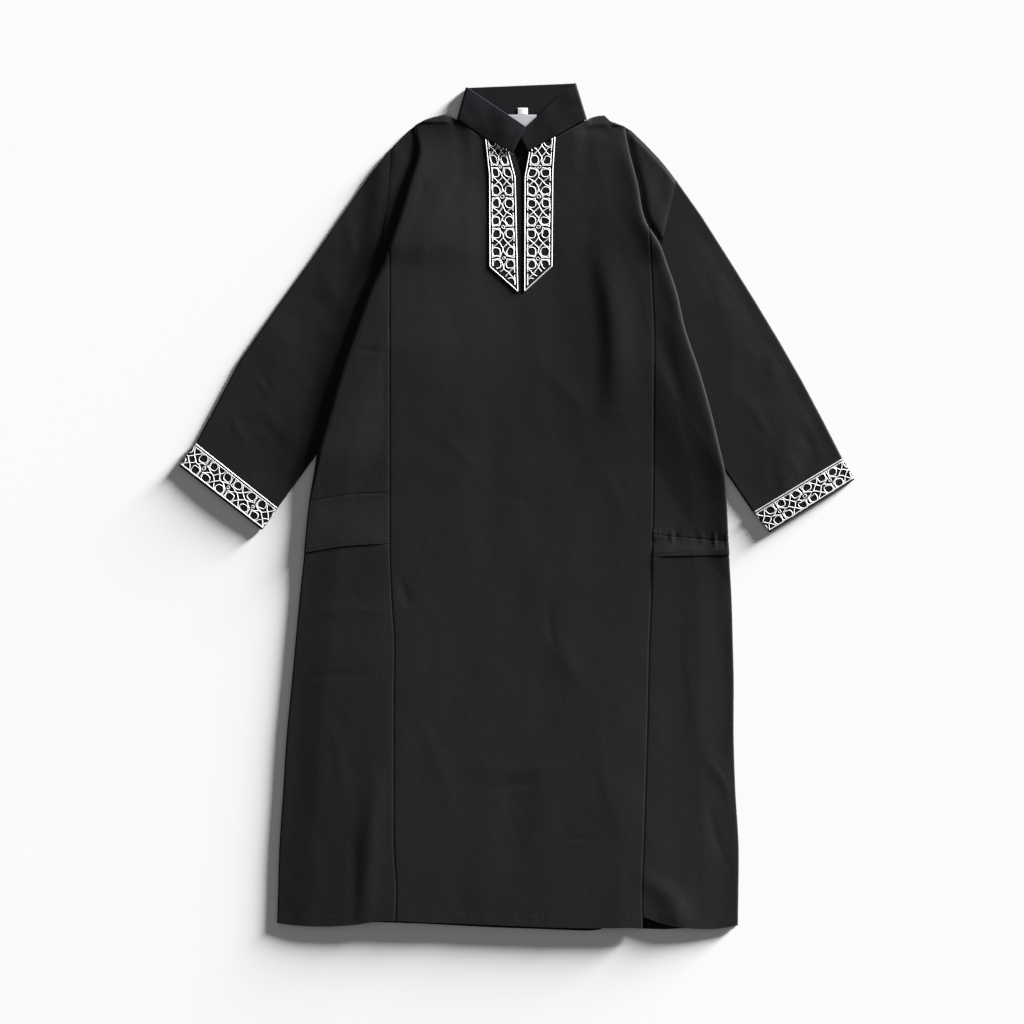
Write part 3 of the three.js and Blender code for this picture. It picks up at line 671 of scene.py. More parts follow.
@dataclass(frozen=True)
class Drape:
    """How high the front lies, and how it rolls over at its side folds."""

    roll_left: float = 3.0  # air in the fold over the sleeves
    roll_right: float = 2.0
    roll_low: float = 0.3  # below them
    reach_left: float = 9.0  # how far the fold's rounding goes in
    reach_right: float = 5.5
    reach_low: float = 2.6
    full_left: float = 120.0  # drop where the fold has all its air
    full_right: float = 360.0
    fade: float = 14.0  # how slowly the roll sinks towards the middle
    tuck: float = 12.0  # cloth that goes on below the fold
    sinks: tuple[float, float] = (560.0, 660.0)  # drops where the fold starts to sink and has sunk
    hem_from: tuple[float, float] = (600.0, 1340.0)  # drops where the hem's air starts and is whole
    side_air: tuple[float, float] = (60.0, 200.0)  # from a fold in to where the air is whole, also the hem's
    near_edge: tuple[float, float] = (16.0, 18.0)  # the air and the creases fade so near shoulder and fold
    neck_reach: float = 110.0  # how far below the collar's seam the front comes up
    broad: Ripple = Ripple(5, 46.0, 2.4)
    small: Ripple = Ripple(9, 17.0, 1.7)

    def flat_top(self, x: Array, drop: Array) -> Array:
        """Height of the front's upper side, without its rolled folds.

        Args:
            x: Garment x in mm.
            drop: Garment drop in mm.

        Returns:
            Heights in mm.
        """
        inside = np.minimum(x + LEFT.fold(drop), RIGHT.fold(drop) - x)
        from_top = drop - front_top(x)
        shoulder = np.where(np.abs(x) > NECK_HALF, ease(0, self.near_edge[0], from_top), 1.0)
        free = ease(0, self.near_edge[1], inside)
        towards_hem = HEM_LOFT * ease(*self.hem_from, drop) * ramp(0, self.side_air[1], inside)
        loft = (FRONT_LOFT * ramp(0, self.side_air[0], inside) + towards_hem) * shoulder
        loft += summed(FOLDS, x, drop) * free
        loft += (0.26 * self.broad.at(x, drop) + 0.06 * self.small.at(x, drop)) * free * shoulder
        loft += summed(FINE_CREASES, x, drop) * free
        neck = NECK_RISE * ease(self.neck_reach, 0, from_top) * ease(NECK_HALF, NECK_HALF - 28, np.abs(x))
        low = ON_BACK + OVER_SLEEVE * sleeve_below(x, drop)
        return low + CLOTH + np.maximum(0.03 * loft, loft) + neck - self.rounding(from_top)

    def rounding(self, from_top: Array) -> Array:
        """How far the cloth has sunk near the front's upper edge."""
        return EDGE_ROUND[1] * (1 - arc(from_top, EDGE_ROUND[0]))

    def path(self, side: Side, length: Array, drop: Array) -> tuple[Array, Array]:
        """Follows a row of the front outward, over its side fold and a little way back beneath.

        Args:
            side: Side of the body.
            length: Distance from the slit along the cloth, in mm.
            drop: Drop of each point.

        Returns:
            Distance from the slit seen from above, and height, of the cloth's outer side.
        """
        start, reach, quarter, low, half = self.roll(side, drop)
        inner = np.maximum(0, start - length)
        share = (1 + inner / self.fade) * np.exp(-inner / self.fade)
        if side is LEFT:
            share = 0.75 * ramp(1, 0.05, inner / start) + 0.25 * share
        rise = low + 2 * half - self.flat_top(side.sign * start, drop)
        level = self.flat_top(side.sign * np.minimum(length, start), drop)
        level = level + rise * share * ease(0, 100, length)
        angle = np.clip(np.pi / 2 * (1 - (length - start) / quarter), -np.pi / 2, np.pi / 2)
        beyond = np.maximum(0, length - start - 2 * quarter)
        out = np.where(length <= start, length, start + reach * np.cos(angle) - beyond)
        return out, np.where(length <= start, level, low + half + half * np.sin(angle))

    def roll(self, side: Side, drop: Array) -> tuple[Array, Array, Array, Array, Array]:
        """Sizes of the roll at a side fold.

        Args:
            side: Side of the body.
            drop: Drop of each point.

        Returns:
            Where it starts, its reach, a quarter of its length round, its underside and half its height.
        """
        if side is LEFT:
            wide, top, full = self.reach_left, self.roll_left, self.full_left
        else:
            wide, top, full = self.reach_right, self.roll_right, self.full_right
        soft = ease(*self.sinks, drop)
        reach = wide + (self.reach_low - wide) * soft
        high = (top + (self.roll_low - top) * soft) * ease(FOLD_START, full, drop)
        start = side.fold(drop) - reach
        flap = ON_BACK * ease(FOLD_START, 90, drop) * ease(*FLAP_PASSED, drop)
        low = ON_BACK + OVER_SLEEVE * sleeve_below(side.sign * start, drop) + flap + 0.1
        half = (2 * CLOTH + high) / 2
        return start, reach, np.pi / 2 * np.sqrt((reach**2 + half**2) / 2), low, half

    def seam_length(self, side: Side, drop: Array) -> Array:
        """Finds the princess seam along the cloth.

        Args:
            side: Side of the body.
            drop: Garment drop in mm.

        Returns:
            Its distance from the slit, in mm.
        """
        start, reach, quarter, _, _ = self.roll(side, drop)
        past = side.seam(drop) - start
        return np.where(past < 0, start + past, start + np.minimum(past * quarter / reach, 2 * quarter + 6))

    def end_length(self, side: Side, drop: Array) -> Array:
        """Distance of the hidden edge of the tuck from the slit, along the cloth."""
        start, _, quarter, _, _ = self.roll(side, drop)
        return start + 2 * quarter + self.tuck


# ---------------------------------------------------------------------------------------------------
# Finishes
# ---------------------------------------------------------------------------------------------------
def linear(colour: str) -> tuple[float, float, float, float]:
    """Turns an sRGB hex colour into linear light.

    Args:
        colour: The colour, as #rrggbb.

    Returns:
        Red, green, blue and alpha.
    """
    parts = [int(colour[i : i + 2], 16) / 255 for i in (1, 3, 5)]
    bright = [p / 12.92 if p <= 0.04045 else ((p + 0.055) / 1.055) ** 2.4 for p in parts]
    return (*bright, 1.0)


def add(
    tree: bpy.types.NodeTree, kind: str, settings: dict[str, str] | None = None, **inputs: object
) -> bpy.types.Node:
    """Adds a node with its settings and links.

    Args:
        tree: The node tree.
        kind: The node's type, without the "ShaderNode" in front.
        settings: Properties of the node.
        **inputs: Values or sockets for its inputs; _ stands for a space, and i0, i1 for an input's number.

    Returns:
        The node.
    """
    node = tree.nodes.new("ShaderNode" + kind)
    for name, value in (settings or {}).items():
        setattr(node, name, value)
    for name, value in inputs.items():
        key = int(name[1:]) if name[0] == "i" and name[1:].isdigit() else name.replace("_", " ")
        if isinstance(value, bpy.types.NodeSocket):
            tree.links.new(value, node.inputs[key])
        else:
            node.inputs[key].default_value = value
    return node


def bands(pitch_mm: float) -> float:
    """Scale of a wave texture whose bands lie a pitch apart, on a surface measured in metres."""
    return 2 * math.pi * 1000 / pitch_mm / 20


def new_material(name: str) -> tuple[bpy.types.Material, bpy.types.NodeTree]:
    """Makes an empty material and its node tree.

    Args:
        name: The material's name.

    Returns:
        The material and its node tree.
    """
    material = bpy.data.materials.new(name)
    material.use_nodes = True
    material.node_tree.nodes.clear()
    return material, material.node_tree


@dataclass(frozen=True)
class WovenCloth:
    """Black polyester-viscose suiting, piece-dyed and plain woven: matte, with a faint dusty nap."""

    name: str = "black_woven_cloth"
    shade: str = "#161719"
    worn: str = "#1b1c1e"  # where the nap catches the light
    roughness: float = 0.88
    sheen: float = 0.03
    thread_mm: float = 2.6  # real threads lie 0.4 mm apart; drawn coarser, or they wouldn't show
    slub_mm: float = 14.0  # length of the thicker stretches in a thread
    cloud_mm: float = 90.0
    relief_mm: float = 0.22

    def make(self) -> bpy.types.Material:
        """Builds the cloth's material.

        Returns:
            The material.
        """
        material, tree = new_material(self.name)
        place = add(tree, "UVMap", {"uv_map": "cloth"}).outputs["UV"]
        space = add(tree, "TexCoord").outputs["Object"]
        cloud = add(tree, "TexNoise", Vector=space, Scale=1000 / self.cloud_mm, Detail=3.0, Roughness=0.55)
        # Warp and weft: noise drawn out along each set of threads, so that the weave is fine and uneven.
        across, run = 1000 / self.thread_mm, 1000 / self.slub_mm
        threads = []
        for scale in ((across, run, 1.0), (run, across, 1.0)):
            drawn = add(tree, "Mapping", {"vector_type": "POINT"}, Vector=place, Scale=scale)
            noise = add(tree, "TexNoise", Vector=drawn.outputs[0], Scale=1.0, Detail=1.0, Roughness=0.5)
            threads.append(noise.outputs[0])
        weave = add(tree, "Math", {"operation": "MAXIMUM"}, i0=threads[0], i1=threads[1])
        tone = cloud.outputs[0]
        mixed = add(tree, "Math", {"operation": "MULTIPLY_ADD"}, i0=weave.outputs[0], i1=1.1, i2=tone)
        share = add(tree, "MapRange", Value=mixed.outputs[0], From_Min=0.75, From_Max=1.5)
        shades = {"i6": linear(self.shade), "i7": linear(self.worn)}
        colour = add(tree, "Mix", {"data_type": "RGBA"}, i0=share.outputs[0], **shades)
        bump = add(tree, "Bump", Strength=0.6, Distance=self.relief_mm * MM, Height=weave.outputs[0])
        surface = add(
            tree,
            "BsdfPrincipled",
            Base_Color=colour.outputs[2],
            Roughness=self.roughness,
            IOR=1.5,
            Specular_IOR_Level=0.15,
            Sheen_Weight=self.sheen,
            Sheen_Roughness=0.45,
            Normal=bump.outputs[0],
        )
        add(tree, "OutputMaterial", Surface=surface.outputs[0])
        return material


@dataclass(frozen=True)
class EmbroideryThread:
    """White rayon machine embroidery: satin stitches side by side, so it is bright with a soft gleam; that
    gleam is partly a painted highlight on each stitch's crest.
    """

    name: str = "white_rayon_thread"
    shade: str = "#d9d9d6"
    # painted highlight: the lighter colour that the crest of each stitch band takes
    bright: str = "#f4f4f2"
    roughness: float = 0.5
    stitch_mm: float = 0.9  # real stitches lie 0.4 mm apart; drawn coarser so that they show up close
    relief_mm: float = 0.12

    def make(self) -> bpy.types.Material:
        """Builds the thread's material.

        Returns:
            The material.
        """
        material, tree = new_material(self.name)
        place = add(tree, "UVMap", {"uv_map": "cloth"}).outputs["UV"]
        scale = bands(self.stitch_mm) / 1.4  # diagonal bands lie 1.4 times closer
        slanted = {"bands_direction": "DIAGONAL"}
        stitch = add(tree, "TexWave", slanted, Vector=place, Scale=scale, Distortion=0.6)
        # Painted highlight: the colour follows the stitch bands of the bump, lighter on each crest and
        # darker in each trough.
        shades = {"i6": linear(self.shade), "i7": linear(self.bright)}
        colour = add(tree, "Mix", {"data_type": "RGBA"}, i0=stitch.outputs[1], **shades)
        bump = add(tree, "Bump", Strength=0.6, Distance=self.relief_mm * MM, Height=stitch.outputs[1])
        surface = add(
            tree,
            "BsdfPrincipled",
            Base_Color=colour.outputs[2],
            Roughness=self.roughness,
            IOR=1.53,
            Sheen_Weight=0.15,
            Sheen_Roughness=0.3,
            Normal=bump.outputs[0],
        )
        add(tree, "OutputMaterial", Surface=surface.outputs[0])
        return material


@dataclass(frozen=True)
class WovenTape:
    """Polyester satin ribbon or tape, woven: smooth, with fine ribs across that break up its gleam."""

    name: str
    shade: str
    roughness: float
    rib_mm: float = 1.1  # real ribs are 0.3 mm apart; drawn coarser so that they show up close

    def make(self) -> bpy.types.Material:
        """Builds the tape's material.

        Returns:
            The material.
        """
        material, tree = new_material(self.name)
        place = add(tree, "UVMap", {"uv_map": "cloth"}).outputs["UV"]
        scale = bands(self.rib_mm)
        ribs = add(tree, "TexWave", {"bands_direction": "Y"}, Vector=place, Scale=scale, Distortion=0.8)
        spot = add(tree, "TexNoise", Vector=place, Scale=260.0, Detail=2.0)
        pale = tuple(min(1.0, 1.12 * v) for v in linear(self.shade)[:3]) + (1.0,)
        colour = add(tree, "Mix", {"data_type": "RGBA"}, i0=spot.outputs[0], i6=linear(self.shade), i7=pale)
        bump = add(tree, "Bump", Strength=0.5, Distance=0.1 * MM, Height=ribs.outputs[1])
        surface = add(
            tree,
            "BsdfPrincipled",
            Base_Color=colour.outputs[2],
            Roughness=self.roughness,
            IOR=1.57,
            Sheen_Weight=0.1,
            Normal=bump.outputs[0],
        )
        add(tree, "OutputMaterial", Surface=surface.outputs[0])
        return material


@dataclass(frozen=True)
class StudioPaper:
    """Plain white background paper: matte and even."""

    name: str = "studio_paper"
    shade: str = "#fdfdfd"

    def make(self) -> bpy.types.Material:
        """Builds the floor's material.

        Returns:
            The material.
        """
        material, tree = new_material(self.name)
        tooth = add(tree, "TexNoise", Scale=900.0, Detail=2.0)
        bump = add(tree, "Bump", Strength=0.1, Distance=0.1 * MM, Height=tooth.outputs[0])
        surface = add(
            tree, "BsdfPrincipled", Base_Color=linear(self.shade), Roughness=0.95, Normal=bump.outputs[0]
        )
        add(tree, "OutputMaterial", Surface=surface.outputs[0])
        return material


class Slot(Enum):
    """The record's material slots."""

    CLOTH = "robe_cloth"
    COLLAR = "collar_cloth"
    BAND = "embroidered_band"
    LABEL = "label_satin"
    TAB = "tab_tape"


@dataclass(frozen=True)
class Wardrobe:
    """The materials of the robe, made once."""

    cloth: bpy.types.Material
    collar: bpy.types.Material
    band: bpy.types.Material
    thread: bpy.types.Material
    sewing: bpy.types.Material
    label: bpy.types.Material
    tab: bpy.types.Material

    @staticmethod
    def make() -> "Wardrobe":
        """Makes every material.

        Returns:
            The wardrobe.
        """
        return Wardrobe(
            cloth=WovenCloth().make(),
            collar=WovenCloth("black_collar_cloth", shade="#101115", worn="#15161a", cloud_mm=60.0).make(),
            band=WovenCloth("black_band_cloth", shade="#131415", worn="#18191b").make(),
            thread=EmbroideryThread().make(),
            # Painted shade: the sewing thread is coloured darker than the black cloth it matches, so that
            # the stitches' sides that face the low light read no brighter than cloth.
            sewing=WovenTape("black_thread_painted_shade", "#0e0e10", 0.75).make(),
            label=WovenTape("silver_satin_label", "#b9babd", 0.38).make(),
            tab=WovenTape("white_tape_tab", "#eeeeec", 0.7).make(),
        )


def place(piece: bpy.types.Object, slot: Slot, *nodes: str) -> bpy.types.Object:
    """Lets a piece ride on the robe's one body.

    Args:
        piece: The piece.
        slot: Its slot in the record; not used.
        *nodes: The solids that it stands for.

    Returns:
        The same piece.
    """
    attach(piece, ROOT)
    if nodes:
        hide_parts(*nodes)
    area = sum(face.area for face in piece.data.polygons) / 2
    log.info("%s: %d faces, %.5f m2 of cloth", piece.name, len(piece.data.polygons), area)
    return piece


# ---------------------------------------------------------------------------------------------------
# Body panels
# ---------------------------------------------------------------------------------------------------
FIRST_DROPS = (20.0, 1350.0)  # where a panel's points start, before they are settled: top and height
ROUNDS = 14  # rounds of settling


def settle(shares: Array, top: Curve, bottom: Curve, across: Curve) -> tuple[Array, Array]:
    """Finds the points of a panel whose rows bend from its top curve to its bottom curve.

    Args:
        shares: Share of the height of each row.
        top: Drop of the panel's top at x.
        bottom: Drop of its bottom at x.
        across: x of every point, given the drops (rows by columns).

    Returns:
        x and drop of the points, rows by columns.
    """
    shares = shares[:, None]
    drop = FIRST_DROPS[0] + FIRST_DROPS[1] * shares
    x = across(drop)
    for _ in range(ROUNDS):
        high, low = top(x), bottom(x)
        drop = high + (low - high) * shares
        x = 0.5 * x + 0.5 * across(drop)
    return across(drop), drop


def spans(drop: Array, shares: Sequence[Array], knots: Callable[[Array], Sequence[Array]]) -> Array:
    """Lengths along the rows of a panel, from knot to knot.

    Args:
        drop: Drops of the points; one column stands for all.
        shares: How each stretch between two knots is divided.
        knots: Lengths of the knots, given the drops.

    Returns:
        Lengths, rows by columns.
    """
    share = np.concatenate(shares)
    index = np.repeat(np.arange(len(shares)), [len(part) for part in shares])
    drop = np.broadcast_to(drop, (drop.shape[0], len(share)))
    marks = np.stack([np.broadcast_to(mark, drop.shape) for mark in knots(drop)])
    columns = np.arange(len(share))
    first, last = marks[index, :, columns].T, marks[index + 1, :, columns].T
    return first + (last - first) * share


@dataclass
class BackPanel:
    """The one full-length back, flat on the surface, with a faint ripple that fades towards its edges."""

    wardrobe: Wardrobe
    cell: float = 7.0
    armhole_end: float = 250.0  # drop below which its side edge is the fold's
    piece: bpy.types.Object | None = None

    def edge(self, side: Side, drop: Array) -> Array:
        """Distance of its side edge from the slit."""
        upper = np.maximum(side.arm(drop) + 2, side.fold(drop))
        return np.where(drop < self.armhole_end, upper, side.fold(drop))

    def build(self) -> None:
        """Makes the panel's mesh."""
        width = graded(760, self.cell)

        def across(drop: Array) -> Array:
            """x of the points, given their drops."""
            left, right = self.edge(LEFT, drop), self.edge(RIGHT, drop)
            return -left + (right + left) * width

        x, drop = settle(graded(1380, self.cell), back_top, back_hem, across)
        inside = np.minimum(x + self.edge(LEFT, drop), self.edge(RIGHT, drop) - x)
        top = CLOTH + 0.12 * Ripple(21, 60.0, 2.0).at(x, drop) * ease(0, 30, inside)
        build = Build()
        shell(build, np.stack([x, drop, top], -1), np.stack([x, drop, 0 * x], -1))
        self.piece = place(build.object("back_cloth", self.wardrobe.cloth), Slot.CLOTH, "back")

    def dress(self) -> None:
        """Does nothing."""


@dataclass
class FrontPanels:
    """The front's panels: centre, sides and pocket bands, rolled over at both side folds."""

    wardrobe: Wardrobe
    drape: Drape
    cell: float = 5.0
    upper_start: float = 175.0  # drop where the rolled part of an upper side panel begins
    flap_end: float = 252.0  # drop where the part beside the fold ends
    below_band: float = 0.75  # how far a lower panel rises just below its pocket mouth
    groove_size: tuple[float, float] = (0.3, 1.6)  # depth and half width of the dip at a princess seam
    pucker_size: tuple[float, float] = (0.1, 9.0)  # height and half width of the puckers beside it
    pocket_dip: tuple[float, float] = (0.2, 1.8)  # depth and half width of the dip at a pocket's seam
    gather_size: tuple[float, float] = (0.85, 10.0)  # height and half length of the gathers there
    hem_rise: float = 0.04  # how far a doubled hem stands up, and its stitching dips
    hem_pucker: tuple[float, float] = (0.09, 10.0)  # height and half length of the puckers across it
    made: dict[str, bpy.types.Object] = field(default_factory=dict)

    def groove(self, side: Side, length: Array, drop: Array) -> Array:
        """Dips the cloth at the princess seam, with the small puckers beside it.

        Args:
            side: Side of the body.
            length: Lengths along the cloth from the slit, in mm.
            drop: Garment drop in mm.

        Returns:
            Height to add, in mm.
        """
        away = length - self.drape.seam_length(side, drop)
        pucker = 0.5 + 0.5 * Ripple(31 + side.sign, 400.0, 0.035).at(0 * away, drop)
        depth, width = self.groove_size
        return -depth * bell(away, width) - self.pucker_size[0] * pucker * bell(away, self.pucker_size[1])

    def hem(self, x: Array, drop: Array, edge: Array) -> Array:
        """Forms a stitched hem: a doubled edge, a dip at the stitching and puckers across it.

        Args:
            x: Garment x in mm.
            drop: Garment drop in mm.
            edge: Drop of the hem's edge.

        Returns:
            Height to add, in mm.
        """
        up = edge - drop
        pucker = Ripple(41, 5.5, 60.0).at(x, drop)
        height, reach = self.hem_pucker
        doubled = ease(HEM_STITCH + 5, HEM_STITCH - 5, up) - bell(up - HEM_STITCH, 1.6)
        return self.hem_rise * doubled + height * pucker * bell(up - HEM_STITCH + 2, reach)

    def grid(self, side: Side, rows: Array, shares: Sequence[Array], knots: Callable, edges: Edges) -> Array:
        """Points of a panel on the draped front, dipped at its princess seam.

        Args:
            side: Side of the body.
            rows: Share of the height of each row.
            shares: How each stretch of a row between two knots is divided.
            knots: Lengths of the knots along the cloth, given the drops.
            edges: Drop of the panel's upper and lower edge at x.

        Returns:
            Its points; rows run down and columns run outward.
        """

        def across(drop: Array) -> Array:
            """x of the points, given their drops."""
            return side.sign * self.drape.path(side, spans(drop, shares, knots), drop)[0]

        _, drop = settle(rows, *edges, across)
        length = spans(drop, shares, knots)
        out, level = self.drape.path(side, length, drop)
        return np.stack([side.sign * out, drop, level + self.groove(side, length, drop)], -1)

    def half(self, side: Side) -> Array:
        """Makes half of the centre front, from the slit to the princess seam.

        Args:
            side: Side of the body.

        Returns:
            Its points; rows run down and columns run outward.
        """

        def knots(drop: Array) -> Sequence[Array]:
            """Measures the columns' ends on the half.

            Args:
                drop: Drops of the points.

            Returns:
                Lengths of the slit's edge, of where the roll starts and of the seam.
            """
            seam = self.drape.seam_length(side, drop) - GAP / 2
            return side.slit(drop), np.minimum(self.drape.roll(side, drop)[0], seam - 14), seam

        shares = (graded(215, self.cell, 1.2, 4), np.linspace(0, 1, 15)[1:])
        points = self.grid(side, graded(1375, self.cell), shares, knots, (front_top, front_hem))
        x, drop = points[..., 0], points[..., 1]
        points[..., 2] += self.hem(x, drop, front_hem(x))
        return points

    def centre(self) -> None:
        """Builds the centre front with its slit."""
        left, right = self.half(LEFT)[:, ::-1], self.half(RIGHT)
        grid = np.concatenate([left, right], axis=1)
        keep = np.ones((grid.shape[0] - 1, grid.shape[1] - 1), bool)
        middle = left.shape[1] - 1
        keep[:, middle] = grid[:-1, middle, 1] > SLIT_END
        build = Build()
        cloth(build, grid, keep)
        piece = build.object("front_centre_cloth", self.wardrobe.cloth)
        self.made["centre"] = place(piece, Slot.CLOTH, "front_centre")

    def side_panel(self, side: Side, height: float, top: Curve, bottom: Curve) -> Array:
        """Grid of one of a side's panels, from the princess seam round the fold.

        Args:
            side: Side of the body.
            height: Its height in mm.
            top: Drop of its upper edge at x.
            bottom: Drop of its lower edge at x.

        Returns:
            Its points; rows run down and columns run outward.
        """

        def knots(drop: Array) -> Sequence[Array]:
            """Measures the columns' ends on the side panel.

            Args:
                drop: Drops of the points.

            Returns:
                Lengths of the seam, of the roll's start and end, and of the tuck's end.
            """
            start, _, quarter, _, _ = self.drape.roll(side, drop)
            seam = self.drape.seam_length(side, drop) + GAP / 2
            first = np.maximum(start, seam + 6)
            second = np.maximum(start + 2 * quarter, first + 6)
            return seam, first, second, np.maximum(self.drape.end_length(side, drop), second + 3)

        shares = (graded(130, 3.6, 1.0, 4), np.linspace(0, 1, 13)[1:], np.linspace(0, 1, 5)[1:])
        return self.grid(side, graded(height, self.cell - 0.6), shares, knots, (top, bottom))

    def pocket_seam(self, side: Side, x: Array, drop: Array) -> Array:
        """Forms the cloth at a pocket's seam: a dip, and small uneven gathers on the right side.

        Args:
            side: Side of the body.
            x: Garment x in mm.
            drop: Garment drop in mm.

        Returns:
            Height to add, in mm.
        """
        away = drop - side.pocket(x)
        dip = -self.pocket_dip[0] * bell(away, self.pocket_dip[1])
        if side is LEFT:
            return dip
        wave = Ripple(36, 5.2, 9.0).at(x, drop) + 0.6 * Ripple(37, 9.5, 9.0).at(x, drop)
        height, reach = self.gather_size
        return dip + height * wave * bell(away, reach) * ease(352, 335, x)  # none round the side fold

    def upper(self, side: Side) -> Array:
        """Makes the upper side panel, down to the pocket's seam.

        Args:
            side: Side of the body.

        Returns:
            Its points; rows run down and columns run outward.
        """
        top, bottom = lambda x: 0 * x + self.upper_start, lambda x: side.pocket(x) - GAP / 2
        points = self.side_panel(side, 480, top, bottom)
        points[..., 2] += self.pocket_seam(side, points[..., 0], points[..., 1])
        return points

    def band(self, side: Side) -> Array:
        """Makes the pocket band, which comes up over the lower panel at its mouth.

        Args:
            side: Side of the body.

        Returns:
            Its points; rows run down and columns run outward.
        """
        top, bottom = lambda x: side.pocket(x) + GAP / 2, lambda x: side.mouth(x) + BAND_OVERLAP
        points = self.side_panel(side, 90, top, bottom)
        x, drop = points[..., 0].copy(), points[..., 1]
        reach = -64 if side is LEFT else -20  # how far above the mouth it begins to rise
        caught = 0.55 + 0.45 * ease(0, 30, side.sign * x - side.seam(drop))
        lift = (CLOTH + 0.15) * ramp(reach, 5, drop - side.mouth(x)) * caught
        points[..., 2] += self.pocket_seam(side, x, drop) + lift
        points[..., 0] += side.sign * 0.5 * lift * ease(-12, 0, np.abs(x) - side.fold(drop))
        return points

    def lower(self, side: Side) -> Array:
        """Makes the lower side panel, from the pocket's mouth to the hem.

        Args:
            side: Side of the body.

        Returns:
            Its points; rows run down and columns run outward.
        """
        points = self.side_panel(side, 640, side.mouth, side.hem)
        x, drop = points[..., 0], points[..., 1]
        away = drop - side.mouth(x) - BAND_OVERLAP
        rise = self.below_band * ease(-0.5, 1.2, away) * bell(np.maximum(0, away), 50)
        points[..., 2] += self.hem(x, drop, side.hem(x)) + rise
        return points

    def flap(self, side: Side) -> Array:
        """Makes the shoulder part of a side panel, which lies lower, from the fold to the armhole.

        Args:
            side: Side of the body.

        Returns:
            Its points; rows run down and columns run outward.
        """
        shares = np.linspace(0, 1, 16)
        begin = 20 if side is LEFT else 22  # drop where it begins

        def across(drop: Array) -> Array:
            """x of the points, given their drops."""
            inner = side.fold(drop) - 9 * ease(20, 60, drop)
            outer = np.maximum(side.arm(drop), inner + 3)
            return side.sign * (inner + (outer - inner) * shares)

        top, bottom = lambda x: np.maximum(front_top(x), begin), lambda x: 0 * x + self.flap_end
        x, drop = settle(graded(232, 4.0), top, bottom, across)
        from_top = drop - front_top(x)
        level = ON_BACK + OVER_SLEEVE * sleeve_below(x, drop) + CLOTH - self.drape.rounding(from_top)
        level += 0.3 * self.drape.small.at(x, drop) * ease(0, 10, from_top)
        level -= 0.5 * bell(np.abs(x) - side.arm(drop), 3)
        if side is RIGHT:
            level += 1.3 * ease(0, 14, x - side.fold(drop)) * ease(260, 205, drop) * ease(0, 12, from_top)
        return np.stack([x, drop, level], -1)

    def side(self, side: Side) -> None:
        """Builds a side's upper panel, pocket band and lower panel.

        Args:
            side: Side of the body.
        """
        pieces = (
            ("side_upper", (self.upper(side), self.flap(side))),
            ("pocket_band", (self.band(side),)),
            ("side_lower", (self.lower(side),)),
        )
        for name, grids in pieces:
            build = Build()
            for grid in grids:
                cloth(build, grid if side is RIGHT else grid[:, ::-1])
            node = f"{name}_{side.name}"
            self.made[node] = place(build.object(node + "_cloth", self.wardrobe.cloth), Slot.CLOTH, node)

    def build(self) -> None:
        """Makes every panel."""
        self.centre()
        for side in SIDES:
            self.side(side)

    def dress(self) -> None:
        """Does nothing."""


# ---------------------------------------------------------------------------------------------------
# Sleeves and cuffs
# ---------------------------------------------------------------------------------------------------
@dataclass(frozen=True)
class SleeveCut:
    """Outline of a sleeve: its outer edge, its under edge and the free edge of its cuff."""

    side: Side
    outer: Line
    under: Line
    hem: Line
    loft: float  # air in it beyond the side fold
    step: float  # how far from the side fold it comes down to the surface
    creases: tuple[Crease, ...]


SLEEVE_LEFT = SleeveCut(
    LEFT,
    outer=((-225, 53.5), (-261, 97.5), (-352, 230), (-413, 314.5), (-481, 412), (-555.5, 551.5)),
    under=UNDER_LEFT,
    hem=((-584, 590), (-443, 699.5)),
    loft=-0.6,
    step=46,
    creases=(
        Crease((-470, 416), (-419, 471), 15, 0.66),
        Crease((-384, 517), (-424, 643), 18, 0.78),
        Crease((-352, 240), (-300, 330), 20, 0.59),
        Crease((-299, 277), (-258, 296), 6, -0.55, 2, ends=0.1),
        Crease((-474, 413), (-420, 475), 6, -0.5, 6, ends=0.1),
        Crease((-345, 437), (-318, 474), 5, -0.46, 2, ends=0.1),
        Crease((-384, 517), (-424, 643), 8, 0.42, 10, ends=0.2),
        Crease((-300, 150), (-270, 260), 10, 0.38, -6, ends=0.1),
        Crease((-500, 500), (-470, 560), 8, 0.34, 4, ends=0.1),
    ),
)
SLEEVE_RIGHT = SleeveCut(
    RIGHT,
    outer=(
        (261, 106),
        (303.5, 166),
        (352, 242),
        (394.5, 310),
        (435.5, 378),
        (474.5, 446),
        (510.5, 514),
        (543, 577.5),
    ),
    under=UNDER_RIGHT,
    hem=((564, 613.5), (419.5, 703.5)),
    loft=1.4,
    step=120,
    creases=(
        Crease((318, 300), (372, 420), 20, 0.66),
        Crease((430, 470), (470, 600), 20, 0.59),
        Crease((290, 230), (330, 330), 9, -0.38, 6, ends=0.1),
        Crease((380, 460), (440, 560), 9, 0.38, -8, ends=0.1),
        Crease((300, 380), (345, 470), 8, -0.42, 5, ends=0.1),
        Crease((470, 520), (500, 600), 7, -0.29, 4, ends=0.1),
    ),
)


CUFF_DEPTH = 48.0
CUFF_WIDTH = 178.0
CUFF_WALL = 1.6
TUBE_EDGE = 3.5  # how far the rounding at a flattened tube's edges reaches inward


def fullness(share: Array) -> Array:
    """How much air a flattened tube holds at shares across it, from 0.6 at its edges to 1."""
    return np.maximum(0.3, np.sin(np.pi * share)) ** 0.4


